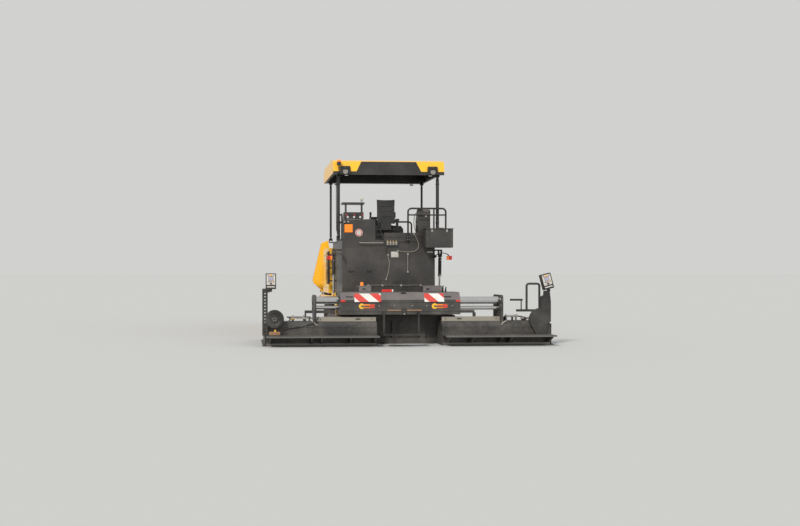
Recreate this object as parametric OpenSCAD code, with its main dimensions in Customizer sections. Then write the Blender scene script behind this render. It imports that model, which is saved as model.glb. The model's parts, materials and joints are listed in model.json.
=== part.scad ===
// Tracked asphalt paver with a telescopic screed, in millimetres.
// +Y is the travel direction, +X is the right side, +Z is up.
// The origin lies on the ground, at the middle of the main screed's sole.

/* [Chassis] */
// Half width over the chassis side plates
chassis_hw = 680; // [640:5:700]
// Thickness of the chassis side plates
side_plate_t = 20; // [12:1:30]
// Rear end of the chassis side plates
chassis_y0 = 800; // [790:1:820]
// Front end of the chassis side plates
chassis_y1 = 5500; // [5450:10:5600]
// Underside of the chassis
chassis_z0 = 330; // [310:5:340]
// Top of the chassis under the body
chassis_z1 = 1000; // [960:5:1030]
// Top of the side plates in the hopper
hopper_z = 640; // [620:5:650]
// Thickness of the conveyor bed
bed_t = 15; // [10:1:20]

/* [Tracks] */
// Distance of each track's middle from the centreline
track_x = 990; // [980:1:1000]
// Width of the track shoes
shoe_w = 305; // [280:5:310]
// Radius that the track chain runs on
wheel_r = 270; // [250:5:280]
// Height of the track chain
chain_h = 55; // [45:1:60]
// Height of a track shoe with its pad
shoe_h = 35; // [25:1:45]
// Rear axle of the track
track_y0 = 1280; // [1270:5:1300]
// Front axle of the track
track_y1 = 3630; // [3600:5:3640]
// Number of shoes on a track
shoe_count = 44; // [36:1:48]
// Gap between neighbouring shoes
shoe_gap = 14; // [8:1:20]
// Width of the track chain
chain_w = 120; // [100:5:130]

/* [Conveyors] */
// Top of the conveyor bed, which the slats slide on
bed_z = 535; // [530:1:545]
// Radius that the conveyor chain runs on
conveyor_r = 75; // [70:1:80]
// Rear shaft of the conveyors
conveyor_y0 = 950; // [940:5:970]
// Front shaft of the conveyors
conveyor_y1 = 5380; // [5340:5:5400]
// Number of slats on a conveyor
slat_count = 34; // [20:1:40]
// Width of a slat along the chain
slat_w = 45; // [30:1:60]
// Height of a slat
slat_h = 30; // [26:1:36]
// Width of a conveyor chain
conveyor_chain_w = 24; // [18:1:30]
// Height of a conveyor chain
conveyor_chain_h = 24; // [18:1:25]
// Radius of the conveyor shafts
conveyor_shaft_r = 30; // [24:1:36]

/* [Body] */
// Half width of the rear body and the deck
body_hw = 1050; // [1030:5:1060]
// Half width of the engine hood
hood_hw = 1160; // [1140:5:1160]
// Rear wall of the body
body_y0 = 760; // [750:1:770]
// Line between the deck and the hood
hood_y0 = 2600; // [2580:5:2620]
// Front of the hood and of the hopper's rear wall
hood_y1 = 3950; // [3940:5:3960]
// Top of the hood
hood_z = 2110; // [2080:5:2150]
// Top of the deck
deck_z = 2250; // [2230:5:2260]
// Thickness of the body panels
panel_t = 20; // [14:1:24]
// Thickness of the deck plate
deck_t = 20; // [10:1:30]

/* [Roof] */
// Height of the lower post pivots
post_z0 = 2310; // [2300:5:2340]
// Height of the upper post pivots
post_z1 = 3680; // [3600:5:3700]
// Rear posts
post_y0 = 830; // [820:5:860]
// Front posts
post_y1 = 2420; // [2380:5:2450]
// Distance of the posts from the centreline
post_x = 1125; // [1120:1:1130]
// Radius of the rear posts
post_r = 36; // [28:1:38]
// Half width of the roof
roof_hw = 1250; // [1220:5:1275]
// Rear edge of the roof
roof_y0 = 700; // [660:5:720]
// Front edge of the roof
roof_y1 = 2900; // [2860:10:2950]
// Underside of the roof panel
roof_z0 = 3730; // [3730:5:3760]
// Top of the roof panel
roof_z1 = 4050; // [4020:5:4080]

/* [Hopper] */
// Distance of the wing hinges from the centreline
wing_x = 730; // [725:1:740]
// Height of the wing hinges
wing_z = 700; // [690:5:710]
// Length of a wing's floor
wing_floor = 780; // [740:5:800]
// Length of a wing's side wall
wing_wall = 1150; // [1100:10:1200]
// Angle of a wing's floor as parked
wing_floor_deg = 42; // [40:1:44]
// Angle of a wing's side wall as parked
wing_wall_deg = 102; // [100:1:104]
// Thickness of the wing plate
wing_t = 12; // [8:1:14]
// Rear edge of the wings
wing_y0 = 4010; // [4005:1:4020]
// Front edge of the wings
wing_y1 = 5540; // [5500:5:5560]
// Radius of the wing hinge pins
wing_pin_r = 25; // [20:1:28]

/* [Push rollers] */
// Radius of the push rollers
push_r = 95; // [85:1:100]
// Length of a push roller
push_len = 700; // [600:5:705]
// Height of the push rollers
push_z = 480; // [470:5:500]
// Pivot of the push beam
push_pivot_y = 5595; // [5590:5:5600]

/* [Tow arms] */
// Height of the tow points
tow_z = 860; // [850:5:870]
// Tow points
tow_y = 3750; // [3740:5:3760]
// Inner face of the tow arms
arm_x = 1165; // [1160:1:1170]
// Width of a tow arm
arm_w = 100; // [90:1:105]
// Radius of the tow pins
tow_pin_r = 35; // [28:1:38]

/* [Augers] */
// Distance of the auger shaft from the screed's middle
auger_y = 550; // [545:1:560]
// Height of the auger shaft
auger_z = 330; // [320:5:340]
// Radius of the auger flights
auger_r = 185; // [170:1:190]
// Pitch of the auger flights
auger_pitch = 340; // [300:5:345]
// Turns of flight on each side
auger_turns = 5; // [3:1:5]
// Thickness of the flights
flight_t = 14; // [10:1:20]
// Radius of the auger shaft
auger_shaft_r = 40; // [32:1:45]
// Half length over the auger carrier
auger_hl = 1900; // [1880:5:1950]

/* [Screed] */
// Half width of the main screed
screed_hw = 1250; // [1240:5:1255]
// Rear face of the main screed box
screed_y0 = -200; // [-205:1:-195]
// Front face of the main screed box
screed_y1 = 250; // [230:5:260]
// Top of the main screed box
screed_z1 = 600; // [580:5:610]
// Rear face of the guide housing
housing_y0 = -620; // [-620:1:-610]
// Front face of the guide housing
housing_y1 = -20; // [-30:1:-15]
// Underside of the guide housing
housing_z0 = 640; // [635:1:650]
// Top of the guide housing
housing_z1 = 1100; // [1060:5:1130]
// Height of the upper guide tubes
tube_z1 = 925; // [915:1:930]
// Height of the lower guide tubes
tube_z0 = 770; // [765:1:775]
// Radius of the upper guide tubes
tube_r1 = 80; // [65:1:82]
// Radius of the lower guide tubes
tube_r0 = 42; // [34:1:45]
// Rear pair of guide tubes, which carries the right unit
tube_y0 = -450; // [-455:1:-445]
// Front pair of guide tubes, which carries the left unit
tube_y1 = -210; // [-215:1:-205]
// Length of the guide tubes
tube_len = 1700; // [1650:5:1720]
// Rear face of the extension units
unit_y0 = -640; // [-645:1:-635]
// Front face of the extension units
unit_y1 = -230; // [-235:1:-225]
// Top of the extension units
unit_z1 = 500; // [480:5:520]
// Width of an extension unit
unit_w = 1250; // [1230:5:1255]
// Width of a bolted extension box
bolt_on_w = 1000; // [750:10:1050]
// How far the left unit stands out as parked
out_left = 495; // [400:5:700]
// How far the right unit stands out as parked
out_right = 855; // [700:5:1000]
// Thickness of the end brackets
bracket_t = 40; // [30:1:45]
// Depth of the foot boards
board_d = 340; // [280:5:360]
// Top of the foot boards on the extension units
board_z = 225; // [200:5:225]

/* [Fits] */
// Radial play of a pin or rod in its bore
pin_play = 0.3; // [0.3:0.1:1]
// Play between bodies that move past each other
run_gap = 5; // [5:1:8]
// Gap that seats one piece on the next
seat_gap = 0.3; // [0.2:0.1:0.5]

/* [Hidden] */
$fn = 48;
track_z = wheel_r + chain_h + shoe_h;
base_r = wheel_r + chain_h;
belt_t = 12;
fine = 1;
yellow = [0.95, 0.72, 0.1];
black = [0.12, 0.12, 0.12];
grey = [0.27, 0.26, 0.25];

// Helpers

// Box from one corner to the other
module block(a, b) {
    translate(a)
        cube(b - a);
}

// The same box on both sides of the centreline, given for the right side
module blocks(a, b) {
    block(a, b);
    mirror([1, 0, 0])
        block(a, b);
}

// A right-hand child and its mirror image
module both() {
    children();
    mirror([1, 0, 0])
        children();
}

// Outline in the Y-Z plane, extruded along X from x0 to x1
module profile_yz(x0, x1) {
    translate([x0, 0, 0])
        rotate([90, 0, 90])
            linear_extrude(x1 - x0)
                children();
}

// Outline in the X-Z plane, extruded along Y from y0 to y1
module profile_xz(y0, y1) {
    translate([0, y1, 0])
        rotate([90, 0, 0])
            linear_extrude(y1 - y0)
                children();
}

// Cylinder along X, Y
module rod_x(r, x0, x1) {
    translate([x0, 0, 0])
        rotate([0, 90, 0])
            cylinder(r = r, h = x1 - x0);
}

module rod_y(r, y0, y1) {
    translate([0, y1, 0])
        rotate([90, 0, 0])
            cylinder(r = r, h = y1 - y0);
}

// Inverted U of round tube in the X-Z plane, with its feet at x = 0 and x = w
module hoop(r, w, h, bend) {
    for (x = [0, w])
        translate([x, 0, 0])
            cylinder(r = r, h = h - bend);
    translate([0, 0, h])
        rod_x(r, bend, w - bend);
    for (corner = [[bend, 90], [w - bend, 0]])
        translate([corner[0], 0, h - bend])
            rotate([90, 0, 0])
                rotate([0, 0, corner[1]])
                    rotate_extrude(angle = 90)
                        translate([bend, 0])
                            circle(r = r);
}

// Hinge along X with its pin at the origin, which lies hinge_v above the panels. The moving
// panel ends at y = -8, the fixed one begins at y = -3
hinge_v = 18;
hinge_r = 12;
hinge_pin_r = 6;
hinge_hw = 30;
ear_t = 12;
module knuckle(x) {
    difference() {
        union() {
            rod_x(hinge_r, x - hinge_hw, x + hinge_hw);
            profile_yz(x - hinge_hw, x + hinge_hw)
                polygon([
                    [-60, -hinge_v - 1], [-12, -hinge_v - 1], [-6, -hinge_r], [0, -hinge_r],
                    [0, hinge_r - 2], [-20, 2], [-60, -10]
                ]);
        }
        rod_x(hinge_pin_r + pin_play, x - hinge_hw - 1, x + hinge_hw + 1);
    }
}

module ears(x) {
    for (side = [-hinge_hw - run_gap - ear_t, hinge_hw + run_gap])
        profile_yz(x + side, x + side + ear_t)
            polygon([[-2, -hinge_v - 1], [12, -hinge_v - 1], [12, 12], [-8, 12], [-8, -8], [-2, -12]]);
    rod_x(hinge_pin_r, x - hinge_hw - run_gap - ear_t, x + hinge_hw + run_gap + ear_t);
}

// Hose swept through points that lie in a plane of constant y, as one faceted tube
hose_sides = 8;
function hose_dir(p, i) =
    let (v = p[min(i + 1, len(p) - 1)] - p[max(i - 1, 0)])
    v / norm(v);
function hose_ring(p, i, r) =
    let (d = hose_dir(p, i), n = [-d[2], 0, d[0]])
    [for (k = [0:hose_sides - 1])
        let (a = k * 360 / hose_sides)
        p[i] + r * (cos(a) * n + sin(a) * [0, 1, 0])];
module hose(r, p) {
    n = len(p);
    polyhedron(
        [for (i = [0:n - 1]) each hose_ring(p, i, r)],
        concat(
            [[for (k = [hose_sides - 1:-1:0]) k]],
            [for (i = [0:n - 2], k = [0:hose_sides - 1])
                let (a = i * hose_sides + k, b = i * hose_sides + (k + 1) % hose_sides)
                [a, b, b + hose_sides, a + hose_sides]],
            [[for (k = [0:hose_sides - 1]) (n - 1) * hose_sides + k]]
        ));
}

// Two cheeks beside an eye of width w, with the pin along X at the origin
module cheeks(w, t, r) {
    for (x = [-w / 2 - run_gap - t, w / 2 + run_gap])
        profile_yz(x, x + t)
            children();
    rod_x(r, -w / 2 - run_gap - t, w / 2 + run_gap + t);
}

// Barrel of a cylinder along Z, with its eye round the X axis
module barrel(len, r, rod_r, pin_r, w) {
    difference() {
        union() {
            translate([0, 0, 55])
                cylinder(r = r, h = len - 55);
            rod_x(pin_r + 16, -w / 2, w / 2);
            block([-w / 2, -24, 0], [w / 2, 24, 60]);
        }
        translate([0, 0, 68])
            cylinder(r = rod_r + pin_play, h = len);
        rod_x(pin_r + pin_play, -60, 60);
    }
}

// Its rod from z0 to the eye at z1, whose bore is wider than the pin that it drives
module piston_rod(z0, z1, r, bore_r, w) {
    difference() {
        union() {
            translate([0, 0, z0])
                cylinder(r = r, h = z1 - z0 - 32);
            translate([0, 0, z1])
                rod_x(bore_r + 13, -w / 2, w / 2);
        }
        translate([0, 0, z1])
            rod_x(bore_r, -60, 60);
    }
}

// Stadium outline of a loop round two axles
module loop_outline(r, y0, y1, z) {
    translate([y0, z])
        circle(r = r, $fn = 96);
    translate([y1, z])
        circle(r = r, $fn = 96);
    translate([y0, z - r])
        square([y1 - y0, 2 * r]);
}

// Point and outward angle at length s along a loop of radius r round two axles
function loop_length(r, y0, y1) = 2 * (y1 - y0) + 2 * PI * r;
function loop_at(s, r, y0, y1, z) =
    let (run = y1 - y0, arc = PI * r)
    s < run ? [y0 + s, z - r, -90] :
    s < run + arc ?
        let (a = -90 + (s - run) / r * 180 / PI)
        [y1 + r * cos(a), z + r * sin(a), a] :
    s < 2 * run + arc ? [y1 - (s - run - arc), z + r, 90] :
        let (a = 90 + (s - 2 * run - arc) / r * 180 / PI)
        [y0 + r * cos(a), z + r * sin(a), a];
function loop_offset(s, h, r, y0, y1, z) =
    let (p = loop_at(s, r, y0, y1, z))
    [p[0] + h * cos(p[2]), p[1] + h * sin(p[2])];

// Offset outline of a bent plate: its middle line, moved by d to the left
function path_normal(p, i) =
    let (a = p[max(i - 1, 0)], b = p[min(i + 1, len(p) - 1)], v = b - a)
    [-v[1], v[0]] / norm(v);
function path_moved(p, d) = [for (i = [0:len(p) - 1]) p[i] + path_normal(p, i) * d];
function ribbon(p, d0, d1) =
    let (a = path_moved(p, d0), b = path_moved(p, d1))
    concat(a, [for (i = [len(b) - 1:-1:0]) b[i]]);

// Chassis

// Side view of a chassis plate
function chassis_outline(top) = [
    [chassis_y0, chassis_z0 + 120], [chassis_y0 + 120, chassis_z0],
    [chassis_y1 - 120, chassis_z0], [chassis_y1, chassis_z0 + 120],
    [chassis_y1, hopper_z], [hood_y1 + panel_t, hopper_z],
    [hood_y1 + panel_t, top], [chassis_y0, top]
];
conveyor_z = bed_z + seat_gap - conveyor_r;
web_t = 24;
push_lug_t = 25;
push_lug_gap = push_lug_t + run_gap + 54;
tow_guide_x = arm_x - run_gap;
eyes = [[chassis_y0 + 50, chassis_z0 + 10], [chassis_y1 - 280, chassis_z0 - 30]];
eye_r = 20;
guide_post = [695, 745];
guide_post_y = [640, 700];

module chassis_frame() {
    color(grey)
    difference() {
        union() {
            both()
                profile_yz(chassis_hw - side_plate_t, chassis_hw)
                    polygon(chassis_outline(chassis_z1));
            profile_yz(-web_t / 2, web_t / 2)
                polygon(chassis_outline(chassis_z1));
            // Conveyor bed and roof of the tunnels
            block([-chassis_hw + fine, conveyor_y0 + conveyor_r + 40, bed_z - bed_t],
                [chassis_hw - fine, conveyor_y1 - conveyor_r - 40, bed_z]);
            block([-chassis_hw, chassis_y0, chassis_z1 - side_plate_t],
                [chassis_hw, hood_y1, chassis_z1]);
            // Front cross member with the lugs of the push beam
            block([-chassis_hw, chassis_y1 - fine, chassis_z0 + 60],
                [chassis_hw, chassis_y1 + 19, hopper_z - 20]);
            for (z = [push_z - push_lug_gap, push_z + push_lug_gap - push_lug_t])
                block([-80, chassis_y1 + 18, z], [80, push_pivot_y + 40, z + push_lug_t]);
            translate([0, push_pivot_y, push_z - push_lug_gap - 15])
                cylinder(r = 30, h = 2 * push_lug_gap + 30);
            // Lashing eyes under the side plates
            for (eye = eyes)
                both()
                    profile_yz(chassis_hw - side_plate_t, chassis_hw)
                        translate(eye)
                            polygon([[-50, 115], [90, 35], [36, -36], [-36, -36]]);
        }
        for (eye = eyes)
            translate([0, eye[0], eye[1]])
                rod_x(eye_r, -chassis_hw - 1, chassis_hw + 1);
        // Bearings of the conveyor shafts
        for (y = [conveyor_y0, conveyor_y1])
            translate([0, y, conveyor_z])
                rod_x(conveyor_shaft_r + pin_play, -chassis_hw - 1, chassis_hw + 1);
    }
}

// Bulkhead, fenders, tow points, guides and brackets on the chassis
module chassis_fittings() {
    color(grey) {
        // Bulkhead between hood and hopper, either side of and above the tunnels
        block([-body_hw, hood_y1, chassis_z1], [body_hw, hood_y1 + panel_t, 1560]);
        blocks([chassis_hw, hood_y1, hopper_z + 110],
            [body_hw, hood_y1 + panel_t, chassis_z1 + fine]);
        // Fenders over the tracks
        blocks([chassis_hw, chassis_y0 + 200, chassis_z1 - 12],
            [tow_guide_x, hood_y1, chassis_z1]);
        // Tow point brackets over the tracks
        blocks([chassis_hw, tow_y - 130, 2 * track_z + 40],
            [tow_guide_x, tow_y + 130, chassis_z1]);
        both()
            translate([0, tow_y, tow_z])
                rod_x(tow_pin_r, tow_guide_x - 20, arm_x + arm_w + 12);
        // Cross tubes that carry the track frames
        for (y = [1750, 3150])
            blocks([chassis_hw, y, track_z - 60],
                [track_x - chain_w / 2 - gear_plate_t - 2 - seat_gap, y + 160, track_z + 100]);
        // Final drive mounts
        both()
            translate([0, track_y0, track_z])
                rod_x(150, chassis_hw, track_x - chain_w / 2 - 45);
        // Guides of the auger carrier
        blocks([chassis_hw, guide_post_y[1] + run_gap, 640],
            [guide_post[1] + run_gap + 10, body_y0 - seat_gap, 1080]);
        blocks([chassis_hw, body_y0 - fine, 640],
            [chassis_hw + 40, chassis_y0 + 60, chassis_z1]);
        for (x = [guide_post[0] - run_gap - 10, guide_post[1] + run_gap])
            blocks([x, guide_post_y[0], 640],
                [x + 10, guide_post_y[1] + run_gap + fine, 1080]);
        // Wing hinge lugs and pins
        both()
            wing_lugs();
        // Wing cylinder brackets
        both()
            wing_cylinder_bracket();
    }
}

wing_lug_y = [4080, 4700, 5380];
wing_knuckle_w = 100;
wing_lug_t = 24;
module wing_lugs() {
    for (y = wing_lug_y) {
        for (side = [-wing_lug_t - run_gap, wing_knuckle_w + run_gap])
            profile_xz(y + side, y + side + wing_lug_t) {
                translate([wing_x, wing_z])
                    circle(r = wing_pin_r + 7);
                polygon([
                    [chassis_hw, hopper_z - 110], [chassis_hw, hopper_z],
                    [wing_x - 20, wing_z + 20], [wing_x + 28, wing_z - 14]
                ]);
            }
        translate([wing_x, 0, wing_z])
            rod_y(wing_pin_r, y - wing_lug_t - run_gap, y + wing_knuckle_w + run_gap + wing_lug_t);
    }
}

// Wing cylinders lie in the plane y = ram_y, from the chassis to the wing's floor
ram_y = 4560;
ram_base = [960, 430];
ram_eye = [1150, 1010];
ram_pin_r = 14;
ram_cheek_t = 14;
ram_eye_w = 30;
module wing_cylinder_bracket() {
    root = chassis_hw - ram_base[0];
    translate([ram_base[0], ram_y, ram_base[1]])
        rotate([0, 0, -90])
            cheeks(ram_eye_w, ram_cheek_t, ram_pin_r)
                polygon([[root, -60], [20, -36], [30, 24], [-20, 36], [root, 60]]);
}

// Tracks

// Shoes and chain as one closed loop
module track() {
    pitch = loop_length(base_r, track_y0, track_y1) / shoe_count;
    outline = [
        for (i = [0:shoe_count - 1], k = [0:3])
            loop_offset(
                (i + (k < 2 ? 0 : 1)) * pitch + (k < 2 ? shoe_gap : -shoe_gap) / 2,
                k == 0 || k == 3 ? 0 : shoe_h,
                base_r, track_y0, track_y1, track_z)
    ];
    profile_yz(track_x - shoe_w / 2, track_x + shoe_w / 2)
        difference() {
            polygon(outline);
            loop_outline(base_r - belt_t, track_y0, track_y1, track_z);
        }
    profile_yz(track_x - chain_w / 2, track_x + chain_w / 2)
        difference() {
            loop_outline(base_r - belt_t + 2, track_y0, track_y1, track_z);
            loop_outline(wheel_r + seat_gap, track_y0, track_y1, track_z);
        }
}

module track_right() {
    color(black)
        track();
}

module track_left() {
    mirror([1, 0, 0])
        track_right();
}

// Track frame with sprocket, idler and rollers, for the right side
roller_r = 90;
roller_count = 5;
carrier_r = 60;
gear_plate_t = 18;
module track_gear() {
    inner = track_x - chain_w / 2;
    outer = track_x + chain_w / 2;
    y_first = track_y0 + wheel_r + roller_r + 30;
    y_last = track_y1 - wheel_r - roller_r - 30;
    difference() {
        union() {
            for (x = [inner - gear_plate_t - 2, outer + 2])
                profile_yz(x, x + gear_plate_t)
                    polygon([
                        [track_y0 + 200, track_z - 60], [y_first - 60, track_z - 200],
                        [y_last + 60, track_z - 200], [track_y1 + 60, track_z - 60],
                        [track_y1 + 60, track_z + 60], [y_last, track_z + 130],
                        [y_first, track_z + 130], [track_y0 + 200, track_z + 100]
                    ]);
            // Box between the plates, clear of sprocket and idler
            block([inner - gear_plate_t, y_first - 70, track_z - 60],
                [outer + gear_plate_t, y_last + 70, track_z + 120]);
            // Bottom rollers
            for (i = [0:roller_count - 1])
                translate([0, y_first + i * (y_last - y_first) / (roller_count - 1),
                        track_z - wheel_r + roller_r]) {
                    rod_x(roller_r, inner + 6, outer - 6);
                    rod_x(32, inner - 30, outer + 30);
                }
            // Carrier rollers
            for (k = [0.3, 0.7])
                translate([0, track_y0 + k * (track_y1 - track_y0), track_z + wheel_r - carrier_r]) {
                    rod_x(carrier_r, inner + 6, outer - 6);
                    rod_x(24, inner - 16, outer + 16);
                }
            for (k = [0.3, 0.7], x = [inner - gear_plate_t - 2, outer + 2])
                block([x, track_y0 + k * (track_y1 - track_y0) - 35, track_z + 100],
                    [x + gear_plate_t, track_y0 + k * (track_y1 - track_y0) + 35,
                        track_z + wheel_r - 30]);
            // Idler on its axle
            translate([0, track_y1, track_z]) {
                rod_x(wheel_r, inner + 20, outer - 20);
                rod_x(70, inner - 26, outer + 26);
            }
        }
        // Ring recesses of the idler
        translate([0, track_y1, track_z])
            for (x = [[inner + 19, inner + 34], [outer - 34, outer - 19]])
                difference() {
                    rod_x(wheel_r - 40, x[0], x[1]);
                    rod_x(100, x[0] - 1, x[1] + 1);
                }
    }
    // Sprocket on the final drive
    translate([0, track_y0, track_z])
        difference() {
            union() {
                rod_x(wheel_r, inner + 30, outer - 30);
                rod_x(160, inner - 45 + seat_gap, outer + 20);
                rod_x(110, outer + 19, outer + 40);
            }
            for (a = [0:45:315])
                rotate([a, 0, 0])
                    translate([0, 215, 0])
                        rod_x(24, inner, outer);
        }
}

module track_gear_right() {
    color(black)
        track_gear();
}

module track_gear_left() {
    mirror([1, 0, 0])
        track_gear_right();
}

// Conveyors

// Slats on two chains, right side
conveyor_x0 = web_t / 2 + 24;
conveyor_x1 = chassis_hw - side_plate_t - 24;
chain_xs = [conveyor_x0 + 20, conveyor_x1 - 20 - conveyor_chain_w];
module conveyor() {
    r = conveyor_r;
    pitch = loop_length(r, conveyor_y0, conveyor_y1) / slat_count;
    for (x = chain_xs)
        profile_yz(x, x + conveyor_chain_w)
            difference() {
                loop_outline(r + conveyor_chain_h, conveyor_y0, conveyor_y1, conveyor_z);
                loop_outline(r, conveyor_y0, conveyor_y1, conveyor_z);
            }
    for (i = [0:slat_count - 1]) {
        p = loop_at((i + 0.5) * pitch, r, conveyor_y0, conveyor_y1, conveyor_z);
        translate([conveyor_x0, p[0], p[1]])
            rotate([p[2] - 90, 0, 0])
                translate([0, -slat_w / 2, abs(abs(p[2]) - 90) < 1 ? 0 : 8])
                    cube([conveyor_x1 - conveyor_x0, slat_w, slat_h]);
    }
}

module conveyors() {
    color("silver")
        both()
            conveyor();
}

module conveyor_shafts() {
    color("gray")
    both()
        for (y = [conveyor_y0, conveyor_y1])
            translate([0, y, conveyor_z]) {
                rod_x(conveyor_shaft_r, web_t / 2 + seat_gap - 8, chassis_hw + 25);
                rod_x(conveyor_shaft_r + 18, chassis_hw + seat_gap, chassis_hw + 60);
                for (x = chain_xs)
                    rod_x(conveyor_r - seat_gap, x + 3, x + conveyor_chain_w - 3);
            }
}

// Engine and hood

door_y = [hood_y0 + 150, hood_y1 - 130];
door_z = [1130, 1850];
lid_hx = 690;
lid_y = [hood_y0 + 150, hood_y1 - 190];
module engine_block() {
    color(grey)
        block([-480, hood_y0 + 160, chassis_z1], [480, hood_y1 - 160, 1880]);
}

function hood_outline(d) = [
    [hood_y0 + d, chassis_z1], [hood_y1 - d, chassis_z1],
    [hood_y1 - d, 1740], [hood_y1 - 150 - d * 0.6, hood_z - d], [hood_y0 + d, hood_z - d]
];

module engine_hood() {
    color(yellow) {
        difference() {
            profile_yz(-hood_hw, hood_hw)
                polygon(hood_outline(0));
            // Hollow inside
            translate([0, 0, -fine])
                profile_yz(-hood_hw + panel_t, hood_hw - panel_t)
                    polygon(hood_outline(panel_t));
            block([-hood_hw + panel_t, hood_y0 + panel_t, chassis_z1 - 1],
                [hood_hw - panel_t, hood_y1 - panel_t, chassis_z1 + 40]);
            // Doorways
            both()
                block([hood_hw - panel_t - 1, door_y[0] - run_gap, door_z[0] - run_gap],
                    [hood_hw + 1, door_y[1] + run_gap, door_z[1] + run_gap]);
            // Lid opening
            block([-lid_hx - run_gap, lid_y[0] - run_gap, hood_z - panel_t - 1],
                [lid_hx + run_gap, lid_y[1] + run_gap, hood_z + 1]);
            // Air slots beside the lid
            for (i = [0:7])
                blocks([lid_hx + 60, hood_y0 + 240 + i * 110, hood_z - panel_t - 1],
                    [hood_hw - 90, hood_y0 + 290 + i * 110, hood_z + 1]);
        }
        for (x = lid_hinge_xs)
            lid_hinge()
                ears(x);
        both()
            for (z = door_hinge_zs)
                door_hinge()
                    ears(-z);
    }
}

lid_hinge_xs = [-450, 450];
door_hinge_zs = [door_z[0] + 120, door_z[1] - 120];
module lid_hinge() {
    translate([0, lid_y[1] + 8, hood_z + hinge_v])
        children();
}

module door_hinge() {
    translate([hood_hw + hinge_v, door_y[1] + 8, 0])
        rotate([0, 90, 0])
            children();
}

module hood_lid() {
    color(black) {
        difference() {
            union() {
                block([-lid_hx, lid_y[0], hood_z - panel_t], [lid_hx, lid_y[1], hood_z]);
                block([-lid_hx + 80, lid_y[0] + 80, hood_z - fine],
                    [lid_hx - 80, lid_y[1] - 120, hood_z + 25]);
            }
            for (i = [0:8])
                block([-lid_hx + 150, lid_y[0] + 130 + i * 85, hood_z - panel_t - 1],
                    [lid_hx - 150, lid_y[0] + 170 + i * 85, hood_z + 26]);
        }
        for (x = lid_hinge_xs)
            lid_hinge()
                knuckle(x);
    }
}

// Side door with a louvred grille
module side_door_right() {
    color(yellow) {
        difference() {
            block([hood_hw - panel_t, door_y[0], door_z[0]], [hood_hw, door_y[1], door_z[1]]);
            for (i = [0:9])
                block([hood_hw - panel_t - 1, door_y[0] + 140, door_z[0] + 190 + i * 46],
                    [hood_hw + 1, door_y[1] - 300, door_z[0] + 212 + i * 46]);
            block([hood_hw - 8, door_y[0] + 40, door_z[0] + 330],
                [hood_hw + 1, door_y[0] + 90, door_z[0] + 450]);
        }
        for (z = door_hinge_zs)
            door_hinge()
                knuckle(-z);
    }
}

module side_door_left() {
    mirror([1, 0, 0])
        side_door_right();
}

// Rear body, deck and rails

guard_z = 2700;
guard_x = [-1030, -300];
band_z = 2400;
module rear_body() {
    color(grey)
    difference() {
        union() {
            block([-body_hw, body_y0, chassis_z1], [body_hw, hood_y0 - seat_gap, deck_z - deck_t]);
            // Rear wall stands up as a guard on the left and as a toe board on the right
            block([guard_x[0], body_y0, deck_z - deck_t - fine],
                [guard_x[1], body_y0 + panel_t, guard_z]);
            block([guard_x[1] + 200, body_y0, deck_z - deck_t - fine],
                [body_hw, body_y0 + panel_t, band_z]);
        }
        block([-body_hw + panel_t, body_y0 + panel_t, chassis_z1 - 1],
            [body_hw - panel_t, hood_y0 - panel_t, deck_z - deck_t - 12]);
        // Recess in the middle of the rear wall
        block([guard_x[1] + 260, body_y0 - 1, deck_z - 260],
            [470, body_y0 + panel_t - 12, deck_z - 60]);
    }
    // Cylinder brackets
    color(grey)
    both()
        lift_bracket();
}

// Lift cylinders stand in the plane of the tow arms
lift_base = [960, 1900];
lift_eye = [1000, 1020];
lift_x = arm_x + arm_w / 2;
lift_pin_r = 16;
lift_eye_w = 36;
lift_cheek_t = 16;
module lift_bracket() {
    translate([lift_x, lift_base[0], lift_base[1]])
        cheeks(lift_eye_w, lift_cheek_t, lift_pin_r)
            polygon([[-60, 120], [-40, -40], [40, -40], [60, 120]]);
    block([body_hw - fine, lift_base[0] - 60, lift_base[1] + 100],
        [lift_x + lift_eye_w / 2 + run_gap + lift_cheek_t, lift_base[0] + 60, lift_base[1] + 130]);
}

post_foot_t = 16;
post_eye_w = 40;
post_pin_r = 14;
module deck() {
    color(black) {
        block([-body_hw, body_y0 + panel_t + seat_gap, deck_z - deck_t + seat_gap],
            [body_hw, hood_y0, deck_z]);
        // Feet of the roof posts
        for (y = [post_y0, post_y1])
            both() {
                block([body_hw - 40, y - 45, deck_z - deck_t + seat_gap],
                    [post_x + post_eye_w / 2 + run_gap + post_foot_t, y + 45, deck_z]);
                translate([post_x, y, post_z0])
                    cheeks(post_eye_w, post_foot_t, post_pin_r)
                        polygon([
                            [-45, deck_z - post_z0 - fine], [45, deck_z - post_z0 - fine],
                            [28, 26], [-28, 26]
                        ]);
            }
    }
}

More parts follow.
